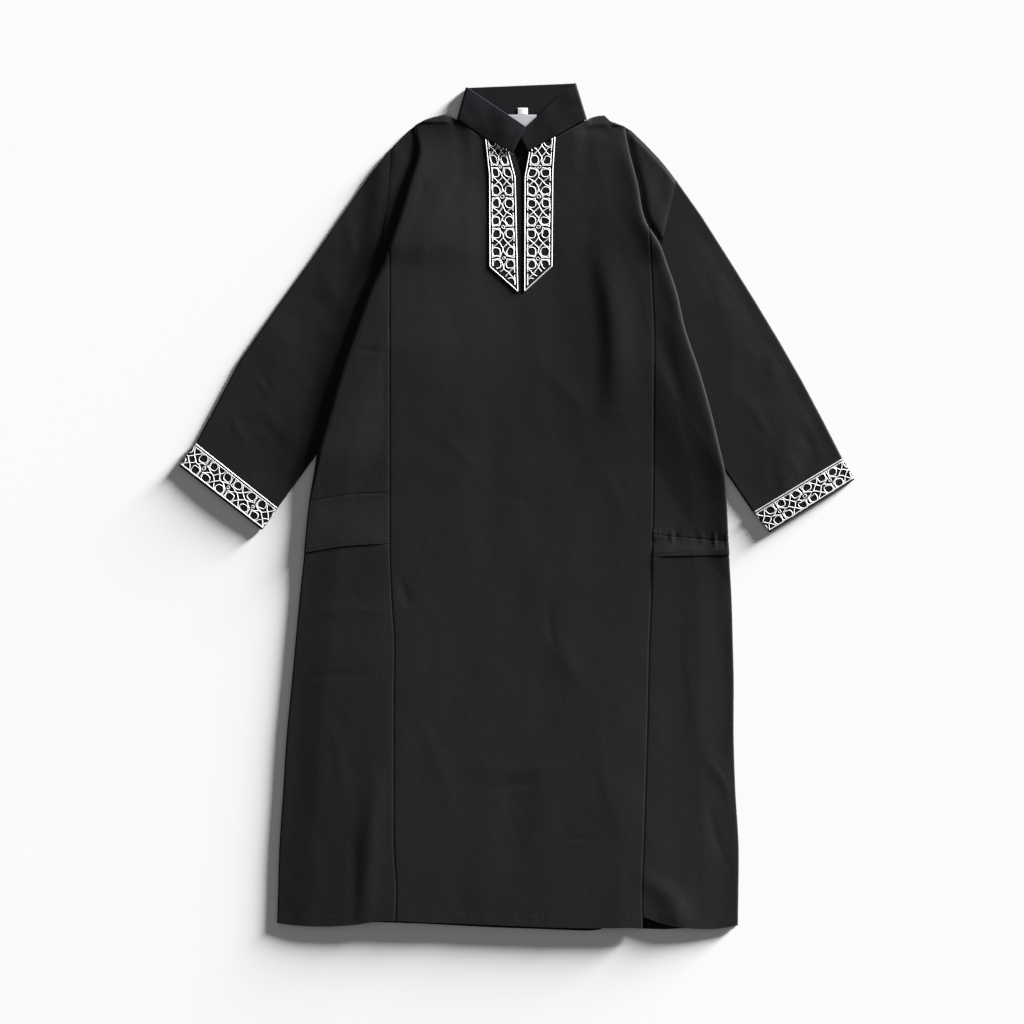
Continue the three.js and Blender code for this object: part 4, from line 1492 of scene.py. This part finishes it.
def flat_tube(
    across: tuple[Array, Array], wall: float, base: Callable, air: Callable, shares: Array
) -> tuple[Array, Array]:
    """Outer and inner loops of a flattened tube, one for each station along it.

    Args:
        across: Points on one edge and on the other, one pair for each station.
        wall: Thickness of the cloth.
        base: Height of the tube's underside, given x and drop.
        air: Height of the hollow, given x, drop and the share across.
        shares: Shares across of the points on one face.

    Returns:
        Grids of the outer and inner points: stations by points round the loop by 3.
    """
    start, stop = across
    width = np.linalg.norm(stop - start, axis=1)[:, None]
    round_off = arc(np.minimum(shares, 1 - shares) * width, TUBE_EDGE)
    faces = []
    for inset in (0.0, 2.0 * wall):
        share = 0.5 + (shares - 0.5) * (1 - 2 * inset / width)
        x, drop = (start[:, None, i] + (stop - start)[:, None, i] * share for i in (0, 1))
        hollow = air(x, drop, shares)
        middle = base(x, drop) + wall + hollow / 2
        half = (hollow / 2 + wall) * round_off
        if inset > 0:
            half = np.maximum(hollow / 2 * round_off, 0.2)
        top, bottom = np.stack([x, drop, middle + half], -1), np.stack([x, drop, middle - half], -1)
        faces.append(np.concatenate([top, bottom[:, ::-1][:, 1:-1]], axis=1))
    return faces[0], faces[1]


@dataclass
class Sleeve:
    """A sleeve and its cuff: one flattened tube each."""

    cut: SleeveCut
    wardrobe: Wardrobe
    made: dict[str, bpy.types.Object] = field(default_factory=dict)

    def beyond(self, x: Array, drop: Array) -> Array:
        """Finds how far a point lies outward from the front's side edge.

        Args:
            x: Garment x in mm.
            drop: Garment drop in mm.

        Returns:
            Distance in mm, below 0 under the front.
        """
        side = self.cut.side
        edge = np.where(drop < 260, np.maximum(side.arm(drop), side.fold(drop)), side.fold(drop))
        return side.sign * x - edge

    def base(self, x: Array, drop: Array) -> Array:
        """Height of the sleeve's underside, on the back or on the surface."""
        return ON_BACK * ease(self.cut.step, 8, self.beyond(x, drop))

    def bent(self, start: Array, stop: Array, stations: Array, shares: Array) -> Array:
        """How far the points near the sleeve's head move, so that it follows the armhole.

        Args:
            start: Points on its outer edge.
            stop: Points on its under edge.
            stations: Shares of its length.
            shares: Shares across of the points on one face.

        Returns:
            Moves in x and drop: stations by points round the loop by 2.
        """
        side = self.cut.side
        drop = np.linspace(side.armhole["drop"][0], side.armhole["drop"][-1], 60)
        armhole = along(np.stack([side.sign * (side.arm(drop) + 0.1), drop], -1), shares)
        chord = start[0] + (stop[0] - start[0]) * shares[:, None]
        bend = (armhole - chord)[None] * (1 - stations[:, None, None]) ** 3
        return np.concatenate([bend, bend[:, ::-1][:, 1:-1]], axis=1)

    def body(self) -> None:
        """Builds the sleeve from the armhole to the cuff seam."""
        cut, sign = self.cut, self.cut.side.sign
        broad, small = Ripple(50 + sign, 50.0, 1.4), Ripple(60 + sign, 18.0, 1.3)

        def air(x: Array, drop: Array, share: Array) -> Array:
            """Height of the hollow: little below the front, more outside it."""
            free = ease(8, cut.step, self.beyond(x, drop))
            soft = 0.8 * summed(cut.creases, x, drop) + 0.7 * broad.at(x, drop) + 0.2 * small.at(x, drop)
            return fullness(share) * (SLEEVE_HOLLOW + free * np.maximum(-0.9, cut.loft + soft))

        stations, shares = graded(640, 5.0, 1.5, 5), graded(185, 4.2, 0.7, 4)
        start, stop = along(cut.outer, stations), along(cut.under, stations)
        start[:, 0] += sign * 0.1 * (1 - stations)
        outer, inner = flat_tube((start, stop), CLOTH, self.base, air, shares)
        bend = self.bent(start, stop, stations, shares)
        outer[..., :2] += bend
        inner[..., :2] += bend
        self.finish("sleeve", outer, inner, self.wardrobe.cloth, Slot.CLOTH)

    def finish(
        self, name: str, outer: Array, inner: Array, material: bpy.types.Material, slot: Slot
    ) -> None:
        """Makes the piece of a tube from its outer and inner points.

        Args:
            name: Which tube it is.
            outer: Its outer points.
            inner: Its inner points.
            material: Its finish.
            slot: Its slot.
        """
        side = self.cut.side
        if side is RIGHT:
            outer, inner = outer[:, ::-1], inner[:, ::-1]
        build = Build()
        shell(build, outer, inner, closed=True)
        node = f"{name}_{side.name}"
        self.made[name] = place(build.object(node + "_cloth", material), slot, node)

    def cuff_edges(self, stations: Array) -> tuple[Array, Array]:
        """Points on the cuff's outer and under edges."""
        outer, under = self.cut.outer[-1], self.cut.under[-1]
        return along((outer, self.cut.hem[0]), stations), along((under, self.cut.hem[1]), stations)

    def cuff(self) -> None:
        """Builds the band at the sleeve's end."""
        gap = 0.006  # share of its depth that the seam takes
        stations = gap + (1 - gap) * graded(CUFF_DEPTH, 3.0, 0.5, 1.5)
        shares = graded(CUFF_WIDTH, 3.5, 0.7, 4)
        outer, inner = flat_tube(
            self.cuff_edges(stations),
            CUFF_WALL,
            lambda x, drop: 0 * x,
            lambda x, drop, share: CUFF_LOFT * fullness(share),
            shares,
        )
        rim = np.minimum(stations, 1 - stations)[:, None] * CUFF_DEPTH
        outer[:, : len(shares), 2] -= 0.5 * (1 - arc(rim, 1.2))
        self.finish("cuff", outer, inner, self.wardrobe.band, Slot.BAND)

    def build(self) -> None:
        """Makes the sleeve and its cuff."""
        self.body()
        self.cuff()

    def dress(self) -> None:
        """Does nothing."""


# ---------------------------------------------------------------------------------------------------
# Collar
# ---------------------------------------------------------------------------------------------------
@dataclass
class Collar:
    """A stand band folded flat: from its upper front end round the side, the back and the other side."""

    wardrobe: Wardrobe
    wall: float = 1.6
    height: float = 54.0
    lift: float = 5.4  # middle of the wall at the front ends
    cross: float = 2.1  # how far the upper end lies above the lower one
    end_stations: int = 46  # stations along each front end
    made: dict[str, bpy.types.Object] = field(default_factory=dict)
    seam_left: Line = ((-112, 3), (-67.5, 33), (-17, 59.5))
    edge_left: Line = ((-97, -52), (5.5, 15))
    seam_right: Line = ((109.5, 3), (55, 32.5), (7.5, 57.5))
    edge_right: Line = ((90.5, -59.5), (-8, 26.5))

    def leaf(self, sign: int, share: Array, lift: Array) -> Array:
        """Finds the seam and the edge along one front end.

        Args:
            sign: -1 on the left, 1 on the right.
            share: Shares of the length from the fold to the end.
            lift: Height at each station.

        Returns:
            Points, stations by 2 by 3.
        """
        seam, edge = (self.seam_left, self.edge_left) if sign < 0 else (self.seam_right, self.edge_right)
        turn = (self.lift - self.wall / 2) / 2 + self.wall / 2
        inset = np.stack([-sign * turn * (1 - share), 0 * share], -1)
        rows = [along(seam, share) + inset - (0, GAP), along(edge, share) + inset]
        return np.stack([np.concatenate([row, np.reshape(lift, (-1, 1))], axis=1) for row in rows], axis=1)

    def fold(self, sign: int, angle: Array) -> Array:
        """Finds the seam and the edge round the fold at one side.

        Args:
            sign: -1 on the left, 1 on the right.
            angle: Angle round the fold at each station.

        Returns:
            Points, stations by 2 by 3.
        """
        radius = (self.lift - self.wall / 2) / 2
        base = self.leaf(sign, np.zeros_like(angle), self.lift + 0 * angle)
        base[..., 0] += (sign * np.cos(angle) * radius)[:, None]
        base[..., 2] = ((self.lift + self.wall / 2) / 2 + np.sin(angle) * radius)[:, None]
        return base

    def middle(self, heights: Array) -> Array:
        """Makes the middle surface of the band.

        Args:
            heights: Shares of the band's height.

        Returns:
            Points, stations by heights by 3.
        """
        share = np.linspace(0, 1, self.end_stations)
        rising = self.lift + self.cross * ease(0.3, 0.84, share[::-1])
        angle = np.linspace(np.pi / 2, -np.pi / 2, 14)[1:-1]
        ends = self.fold(-1, np.array([-np.pi / 2])), self.fold(1, np.array([-np.pi / 2]))
        behind = np.linspace(0, 1, 40)[:, None, None]
        parts = (
            self.leaf(-1, share[::-1], rising),
            self.fold(-1, angle),
            ends[0] * (1 - behind) + ends[1] * behind,
            self.fold(1, angle[::-1]),
            self.leaf(1, share, self.lift + 0 * share),
        )
        stations = np.concatenate(parts)
        height = heights[None, :, None]
        grid = stations[:, :1] * (1 - height) + stations[:, 1:] * height
        # The front ends are slightly arched over their interlining and waver a little.
        front = np.clip((stations[:, 0, 2] - 3.0) / 2.7, 0, 1)[:, None]
        waver = Ripple(71, 22.0).at(grid[..., 0], grid[..., 1])
        rise = 0.4 * np.sin(np.pi * heights)[None] + 0.35 * waver
        grid[..., 2] += front * rise
        return grid

    def build(self) -> None:
        """Makes the band and the stitching along its edges."""
        heights = graded(self.height, 2.6, 0.5, 1.5)
        grid = self.middle(heights)
        out = normals(grid)
        slim = np.maximum(0.35, arc(np.minimum(heights, 1 - heights) * self.height, 1.2))
        half = np.tile((self.wall / 2 * slim)[None, :, None], (len(grid), 1, 1))
        half[[0, -1]] *= 0.55
        build = Build()
        shell(build, grid + out * half, grid - out * half)
        self.made["band"] = place(build.object("collar_band", self.wardrobe.collar), Slot.COLLAR, "collar")
        sewing = Build()
        face = grid + out * half * np.sign(out[..., 2:])
        for rows in (face[1 : self.end_stations - 1], face[-self.end_stations : -2]):
            for share in (0.93, 0.07):
                stitches(sewing, rows[:, int(np.argmin(np.abs(heights - share)))], 3.0)
        self.made["stitching"] = place(sewing.object("collar_stitching", self.wardrobe.sewing), Slot.COLLAR)

    def dress(self) -> None:
        """Does nothing."""


# ---------------------------------------------------------------------------------------------------
# Sewing and embroidery
# ---------------------------------------------------------------------------------------------------
BORDER_HEIGHT = 0.42  # of the border lines' thread
LATTICE_HEIGHT = 0.34  # of the lattice's thread
THREAD_STEP = 1.3  # points along a thread lie this far apart


def stitches(build: Build, line: Array, pitch: float, width: float = 0.5, height: float = 0.03) -> None:
    """Adds a row of stitches on the cloth along a line.

    Args:
        build: The piece that they become part of.
        line: Points on the cloth, in garment mm.
        pitch: Distance from one stitch to the next, in mm.
        width: Width of the thread.
        height: Height of the thread above the cloth.
    """
    length = travelled(line)
    for start in np.arange(pitch, length[-1] - pitch, pitch):
        at = start + np.array([0, 0.36, 0.72]) * pitch
        points = np.stack([np.interp(at, length, line[:, i]) for i in range(3)], -1)
        points[:, 2] += np.array([-0.16, 0.02, -0.16])  # both ends go into the cloth
        ribbon(build, points, width, height)


def sew(
    build: Build, line: Array, widths: Array | float, height: float, surface: Callable, inside: Callable
) -> None:
    """Adds the stretches of an embroidered line that lie inside a strip.

    Args:
        build: The piece that it becomes part of.
        line: Its points, in the strip's two coordinates.
        widths: Its width at each point, or one width.
        height: Height of the thread.
        surface: Points on the strip's face, given the two coordinates.
        inside: Whether a point lies inside the strip, given the two coordinates.
    """
    length = travelled(line)
    at = np.linspace(0, length[-1], max(3, int(length[-1] / THREAD_STEP) + 1))
    widths = np.broadcast_to(np.asarray(widths, float), (len(line),))
    first, second, wide = (np.interp(at, length, values) for values in (*line.T, widths))
    points = surface(first, second)
    kept = np.flatnonzero(inside(first, second))
    for run in np.split(kept, np.flatnonzero(np.diff(kept) > 1) + 1):
        if len(run) > 1:
            ribbon(build, points[run], wide[run], height)


@dataclass(frozen=True)
class Interlace:
    """A traditional interlaced lattice: diamonds, rounded loops and small rings between two border lines.

    One quarter of the repeat is drawn, as (across, along) points in mm, and mirrored both ways.
    """

    repeat: float = 52.0
    half: float = 17.0  # half of its breadth
    width: float = 1.65  # of a line
    waver: float = 1.5  # how far a line strays

    def quarter(self) -> tuple[Array, ...]:
        """Draws one quarter of the repeat.

        Returns:
            Its lines, as (across, along) points.
        """
        turn = np.linspace(0, 2 * np.pi, 21)
        round_x, round_y = (np.sign(f(turn)) * np.abs(f(turn)) ** 0.8 for f in (np.cos, np.sin))
        loop = np.stack([10.6 + 6.2 * round_x, 15.2 + 7.2 * round_y], -1)
        ring = np.stack([2.6 * np.cos(turn[:11]), 26 - 2.6 * np.sin(turn[:11])], -1)
        return (
            loop,
            ring,
            along(((0, 8.4), (6.8, 0.3), (11.5, -4.4), (17, -8)), np.linspace(0, 1, 12), smooth=True),
            along(((0, 8.4), (0.3, 13), (3.4, 19), (5.4, 23.6)), np.linspace(0, 1, 9), smooth=True),
            along(((17, 24.2), (11, 23.4), (5, 24.2)), np.linspace(0, 1, 7), smooth=True),
            along(((16.6, 24.2), (17.2, 14), (16.8, 1.6)), np.linspace(0, 1, 12), smooth=True),
        )

    def lines(self, length: float, start: float, seed: int) -> list[tuple[Array, Array]]:
        """Every line of a strip of lattice.

        Args:
            length: Length of the strip.
            start: Where the middle of the first diamond lies.
            seed: Seed of the small unevenness of the stitching.

        Returns:
            Pairs of the (across, along) points and the widths of each line.
        """
        drift = (Ripple(seed, 7.0), Ripple(seed + 1, 7.0), Ripple(seed + 2, 5.0))
        found = []
        for middle in np.arange(start - self.repeat, length + self.repeat, self.repeat):
            for line in self.quarter():
                for a, b in ((1, 1), (-1, 1), (1, -1), (-1, -1)):
                    points = line * (a, b) + (0, middle)
                    if points[:, 1].max() < -4 or points[:, 1].min() > length + 4:
                        continue
                    x, y = points.T
                    free = 1 - np.abs(x) / self.half * 0.6
                    moved_x = x + self.waver * drift[0].at(x, y) * free
                    moved_y = y + self.waver * drift[1].at(x, y)
                    width = self.width * (1 + 0.28 * drift[2].at(x, y))
                    found.append((np.stack([moved_x, moved_y], -1), width))
        return found


def finer(points: Array, step: float) -> Array:
    """The same line with points about a step apart."""
    return along(points, np.linspace(0, 1, max(3, int(travelled(points)[-1] / step) + 1)))


@dataclass
class NeckTrim:
    """An embroidered strip beside the neck slit, with a pointed lower end."""

    side: Side
    wardrobe: Wardrobe
    drape: Drape
    outer: Line
    inner: Line
    wall: float = 0.6
    length: float = 262.0
    width: float = 48.0
    inset: float = 1.7  # from the strip's edge to the border line
    made: dict[str, bpy.types.Object] = field(default_factory=dict)

    def level(self, x: Array, drop: Array) -> Array:
        """Height of the strip's face."""
        return self.drape.path(self.side, np.abs(x), drop)[1] + 0.12 + self.wall

    def face(self, x: Array, drop: Array) -> Array:
        """Points on the strip's face."""
        return np.stack([x, drop, self.level(x, drop)], -1)

    def at(self, across: float, drop: Array) -> Array:
        """x of a point that lies across the strip, from 0 at its outer edge to 1 at its inner edge."""
        first, last = (np.interp(drop, *np.array(edge, float).T[::-1]) for edge in (self.outer, self.inner))
        return first + (last - first) * across

    def slope(self) -> float:
        """Slope of the strip's pointed end."""
        corner, tip = self.outer[-1], self.inner[-1]
        return (tip[1] - corner[1]) / abs(tip[0] - corner[0])

    def tip_line(self, x: Array) -> Array:
        """Drop of the pointed end at x."""
        return self.outer[-1][1] + self.slope() * np.abs(x - self.outer[-1][0])

    def build(self) -> None:
        """Makes the strip and its embroidery."""
        share = graded(self.length, 3.0, 0.8, 2)
        columns = graded(self.width, 2.5, 0.5, 1.5)
        outer, inner = along(self.outer, share)[:, None], along(self.inner, share)[:, None]
        flat = outer * (1 - columns[None, :, None]) + inner * columns[None, :, None]
        rim = np.minimum(columns, 1 - columns)[None] * self.width
        rim = np.minimum(rim, (1 - share)[:, None] * self.length)
        grid, below = self.face(flat[..., 0], flat[..., 1]), self.face(flat[..., 0], flat[..., 1])
        grid[..., 2] -= 0.4 * (1 - arc(rim, 0.8))
        below[..., 2] -= self.wall
        build = Build()
        shell(build, grid, below)
        node = f"trim_{self.side.name}"
        self.made["strip"] = place(build.object(node + "_cloth", self.wardrobe.band), Slot.BAND, node)
        self.embroider(node)

    def border(self) -> Array:
        """Draws the border line: down the outer edge, along the pointed end and up the inner edge.

        Returns:
            Its x and drop.
        """
        corner, tip = self.outer[-1], self.inner[-1]
        inward = self.inset if tip[0] > corner[0] else -self.inset
        slant = np.array([corner[0] + inward, tip[0] - inward])
        end = np.stack([slant, self.tip_line(slant) - self.inset * math.hypot(1, self.slope())], -1)
        drops, drops_up = np.linspace(30, end[0, 1], 100), np.linspace(end[1, 1], 58, 120)
        down = np.stack([self.at(0.0, drops) + inward, drops], -1)
        up = np.stack([self.at(1.0, drops_up) - inward, drops_up], -1)
        return np.concatenate([down[:-1], finer(end, 2), up[1:]])

    def inside(self, x: Array, drop: Array) -> Array:
        """Whether a point of the lattice lies inside the border line."""
        edge = np.minimum(np.abs(x - self.at(0.0, drop)), np.abs(self.at(1.0, drop) - x))
        return (drop < self.tip_line(x) - 5.6 * math.hypot(1, self.slope())) & (edge > 5.0) & (drop > 22)

    def embroider(self, node: str) -> None:
        """Sews the border line and the lattice onto the strip.

        Args:
            node: The solid that the strip stands for.
        """
        threads = Build()
        sew(threads, self.border(), 1.8, BORDER_HEIGHT, self.face, lambda x, drop: drop > 20)
        for line, widths in Interlace().lines(300, 46, 80 + self.side.sign):
            drop = line[:, 1] + 10
            room = np.abs(self.at(1.0, drop) - self.at(0.0, drop)) / 2 - 6.0
            x = self.at(0.5, drop) + line[:, 0] / Interlace.half * room
            sew(threads, np.stack([x, drop], -1), widths, LATTICE_HEIGHT, self.face, self.inside)
        self.made["threads"] = place(threads.object(node + "_embroidery", self.wardrobe.thread), Slot.BAND)

    def dress(self) -> None:
        """Does nothing."""


@dataclass
class CuffEmbroidery:
    """The same lattice round a cuff, between its border lines.

    Its two coordinates are the depth from the cuff's seam and the run from its outer edge, in mm.
    """

    sleeve: Sleeve
    wardrobe: Wardrobe
    borders: tuple[tuple[float, float], ...] = ((1.5, 1.8), (5.2, 1.2), (43.8, 1.8))  # depth, width
    middle: float = 25.0  # depth of the lattice's middle
    half: float = 19.2  # half of the lattice's breadth

    def level(self, share: Array) -> Array:
        """Finds the height of the cuff's face.

        Args:
            share: Shares across, from 0 to 1.

        Returns:
            Height in mm.
        """
        hollow = CUFF_LOFT * fullness(share)
        round_off = arc(np.minimum(share, 1 - share) * CUFF_WIDTH, TUBE_EDGE)
        return CUFF_WALL + hollow / 2 + (hollow / 2 + CUFF_WALL) * round_off

    def face(self, depth: Array, run: Array) -> Array:
        """Finds points on the cuff's face.

        Args:
            depth: Depth from the cuff's seam, in mm.
            run: Distance from its outer edge, in mm.

        Returns:
            The points, in garment mm.
        """
        first, last = self.sleeve.cuff_edges(depth / CUFF_DEPTH)
        share = run / CUFF_WIDTH
        return np.concatenate([first + (last - first) * share[:, None], self.level(share)[:, None]], axis=1)

    def inside(self, depth: Array, run: Array) -> Array:
        """Whether a point lies on the cuff's upper face."""
        return (run > 0.2) & (run < CUFF_WIDTH - 0.2) & (depth > 0.5) & (depth < CUFF_DEPTH - 1)

    def build(self) -> None:
        """Sews the border lines and the lattice."""
        threads = Build()
        run = np.linspace(0, CUFF_WIDTH, 90)
        for depth, width in self.borders:
            sew(threads, np.stack([0 * run + depth, run], -1), width, BORDER_HEIGHT, self.face, self.inside)
        for line, widths in Interlace().lines(CUFF_WIDTH, 12, 90 + self.sleeve.cut.side.sign):
            depth = self.middle + line[:, 0] / Interlace.half * self.half
            lattice = np.stack([depth, line[:, 1]], -1)
            sew(threads, lattice, widths, LATTICE_HEIGHT, self.face, self.inside)
        name = f"cuff_{self.sleeve.cut.side.name}_embroidery"
        place(threads.object(name, self.wardrobe.thread), Slot.BAND)


# ---------------------------------------------------------------------------------------------------
# Small parts
# ---------------------------------------------------------------------------------------------------
@dataclass(frozen=True)
class FlatPiece:
    """A small flat piece of cloth."""

    node: str
    slot: Slot
    corners: tuple[float, float, float, float]  # x from and to, drop from and to
    low: float  # height of its underside
    wall: float
    arch: float  # how far its middle rises

    def make(self, material: bpy.types.Material) -> bpy.types.Object:
        """Makes its mesh, with rounded edges.

        Args:
            material: Its finish.

        Returns:
            The piece.
        """
        left, right, top, bottom = self.corners
        x, drop = np.meshgrid(
            left + (right - left) * graded(right - left, 1.5, 0.4, 1),
            top + (bottom - top) * graded(bottom - top, 2.5, 0.4, 1),
        )
        rim = np.minimum(np.minimum(x - left, right - x), np.minimum(drop - top, bottom - drop))
        under = self.low + self.arch * np.sin(np.pi * (x - left) / (right - left))
        face = under + self.wall - 0.3 * self.wall * (1 - arc(rim, 0.5))
        build = Build()
        shell(build, np.stack([x, drop, face], -1), np.stack([x, drop, under], -1))
        return place(build.object(self.node + "_piece", material), self.slot, self.node)


@dataclass
class SmallParts:
    """Underlap behind the slit, the bare neck label and the bare size tab."""

    wardrobe: Wardrobe
    placket: FlatPiece = FlatPiece("placket", Slot.CLOTH, (-22, 15, 64, 284), 1.8, 1.0, 0.0)
    label: FlatPiece = FlatPiece("label", Slot.LABEL, (-29, 23, -6, 15), 1.9, 0.6, 0.25)
    size_tab: FlatPiece = FlatPiece("size_tab", Slot.TAB, TAB_SIZE, 1.9, 0.6, 0.3)
    made: dict[str, bpy.types.Object] = field(default_factory=dict)

    def build(self) -> None:
        """Makes the three pieces."""
        self.made["placket"] = self.placket.make(self.wardrobe.cloth)
        self.made["label"] = self.label.make(self.wardrobe.label)
        self.made["size_tab"] = self.size_tab.make(self.wardrobe.tab)

    def dress(self) -> None:
        """Does nothing."""


@dataclass
class BodyStitching:
    """Rows of stitches along the hems and the pocket lines."""

    wardrobe: Wardrobe
    drape: Drape
    pitch: float = 3.2
    hem_drop: float = 1350.0  # near the hems' stitching
    mouth_drop: float = 735.0  # near the pocket mouths
    mouth_rows: tuple[float, float] = (-1.0, -8.5)  # drops of the rows, from the band's lower edge

    def row(self, build: Build, side: Side, x: Array, drop: Array, lift: float = 0.0) -> None:
        """Adds stitches along a line on the front, given by x and drop."""
        level = self.drape.path(side, np.abs(x), drop)[1] + lift
        stitches(build, np.stack([x, drop, level], -1), self.pitch)

    def build(self) -> None:
        """Sews the rows."""
        sewing = Build()
        for side in SIDES:
            seam, fold = side.seam(np.array(self.hem_drop)), side.fold(np.array(self.hem_drop))
            x = side.sign * np.linspace(2, seam - 2, 200)
            self.row(sewing, side, x, front_hem(x) - HEM_STITCH)
            x = side.sign * np.linspace(seam + 2, fold - 3, 120)
            self.row(sewing, side, x, side.hem(x) - HEM_STITCH)
            seam, fold = side.seam(np.array(self.mouth_drop)), side.fold(np.array(self.mouth_drop))
            x = side.sign * np.linspace(seam + 2, fold - 3, 90)
            for below in self.mouth_rows:
                self.row(sewing, side, x, side.mouth(x) + BAND_OVERLAP + below, ON_BACK)
        place(sewing.object("body_stitching", self.wardrobe.sewing), Slot.CLOTH)


# ---------------------------------------------------------------------------------------------------
# Studio
# ---------------------------------------------------------------------------------------------------
@dataclass(frozen=True)
class Studio:
    """White floor, a low soft light, an even sky and the camera straight above."""

    lens: float = 85.0
    sensor: float = 36.0
    half_view: float = 0.8704  # half of what the camera sees across the floor, in metres
    aim: tuple[float, float] = (-0.0082, -0.009)
    key_rise: float = 4.7  # degrees above the floor
    key_turn: float = 40.0  # degrees from the right towards the top
    key_power: float = 32.0
    key_spread: float = 11.0  # degrees across, so that shadows are soft
    sky: float = 0.14

    def floor(self) -> None:
        """Makes the floor."""
        bpy.ops.mesh.primitive_plane_add(size=14.0, location=(0, 0, -0.0004))
        plane = bpy.context.object
        plane.name = "floor"
        plane.data.materials.append(StudioPaper().make())

    def key(self) -> None:
        """Adds the soft light from the upper right, low enough to show the folds."""
        lamp = bpy.data.lights.new("key_light", "SUN")
        lamp.energy, lamp.angle = self.key_power, math.radians(self.key_spread)
        rise, turn = math.radians(self.key_rise), math.radians(self.key_turn)
        toward = Vector((math.cos(rise) * math.cos(turn), math.cos(rise) * math.sin(turn), math.sin(rise)))
        holder = bpy.data.objects.new("key_light", lamp)
        holder.location = toward * 4
        holder.rotation_euler = toward.to_track_quat("Z", "Y").to_euler()
        bpy.context.scene.collection.objects.link(holder)

    def build(self) -> None:
        """Sets up floor, light, sky and camera."""
        self.floor()
        self.key()
        world = bpy.data.worlds.new("studio_sky")
        world.use_nodes = True
        background = world.node_tree.nodes["Background"]
        background.inputs["Color"].default_value = (1.0, 1.0, 1.0, 1.0)
        background.inputs["Strength"].default_value = self.sky
        scene = bpy.context.scene
        scene.world = world
        scene.view_settings.view_transform = "Standard"
        view = bpy.data.cameras.new("camera")
        view.lens, view.sensor_width, view.clip_end = self.lens, self.sensor, 50.0
        camera = bpy.data.objects.new("camera", view)
        camera.location = (*self.aim, self.half_view * self.lens / (self.sensor / 2))
        scene.collection.objects.link(camera)
        scene.camera = camera


def main() -> None:
    """Builds the robe piece by piece, calls each piece's empty dress step and sets up the studio."""
    logging.basicConfig(level=logging.INFO, format="%(name)s: %(message)s", stream=sys.stdout)
    wardrobe = Wardrobe.make()
    drape = Drape()
    panels = FrontPanels(wardrobe, drape)
    sleeves = [Sleeve(cut, wardrobe) for cut in (SLEEVE_LEFT, SLEEVE_RIGHT)]
    trims = [
        NeckTrim(LEFT, wardrobe, drape, TRIM_LEFT_OUTER, TRIM_LEFT_INNER),
        NeckTrim(RIGHT, wardrobe, drape, TRIM_RIGHT_OUTER, TRIM_RIGHT_INNER),
    ]
    cut_pieces = [BackPanel(wardrobe), SmallParts(wardrobe), panels, *sleeves, *trims, Collar(wardrobe)]
    for part in cut_pieces:
        part.build()
        log.info("%s is built", type(part).__name__)
    for sleeve in sleeves:
        CuffEmbroidery(sleeve, wardrobe).build()
    BodyStitching(wardrobe, drape).build()
    Studio().build()
    for part in cut_pieces:
        part.dress()


if __name__ == "__main__":
    main()
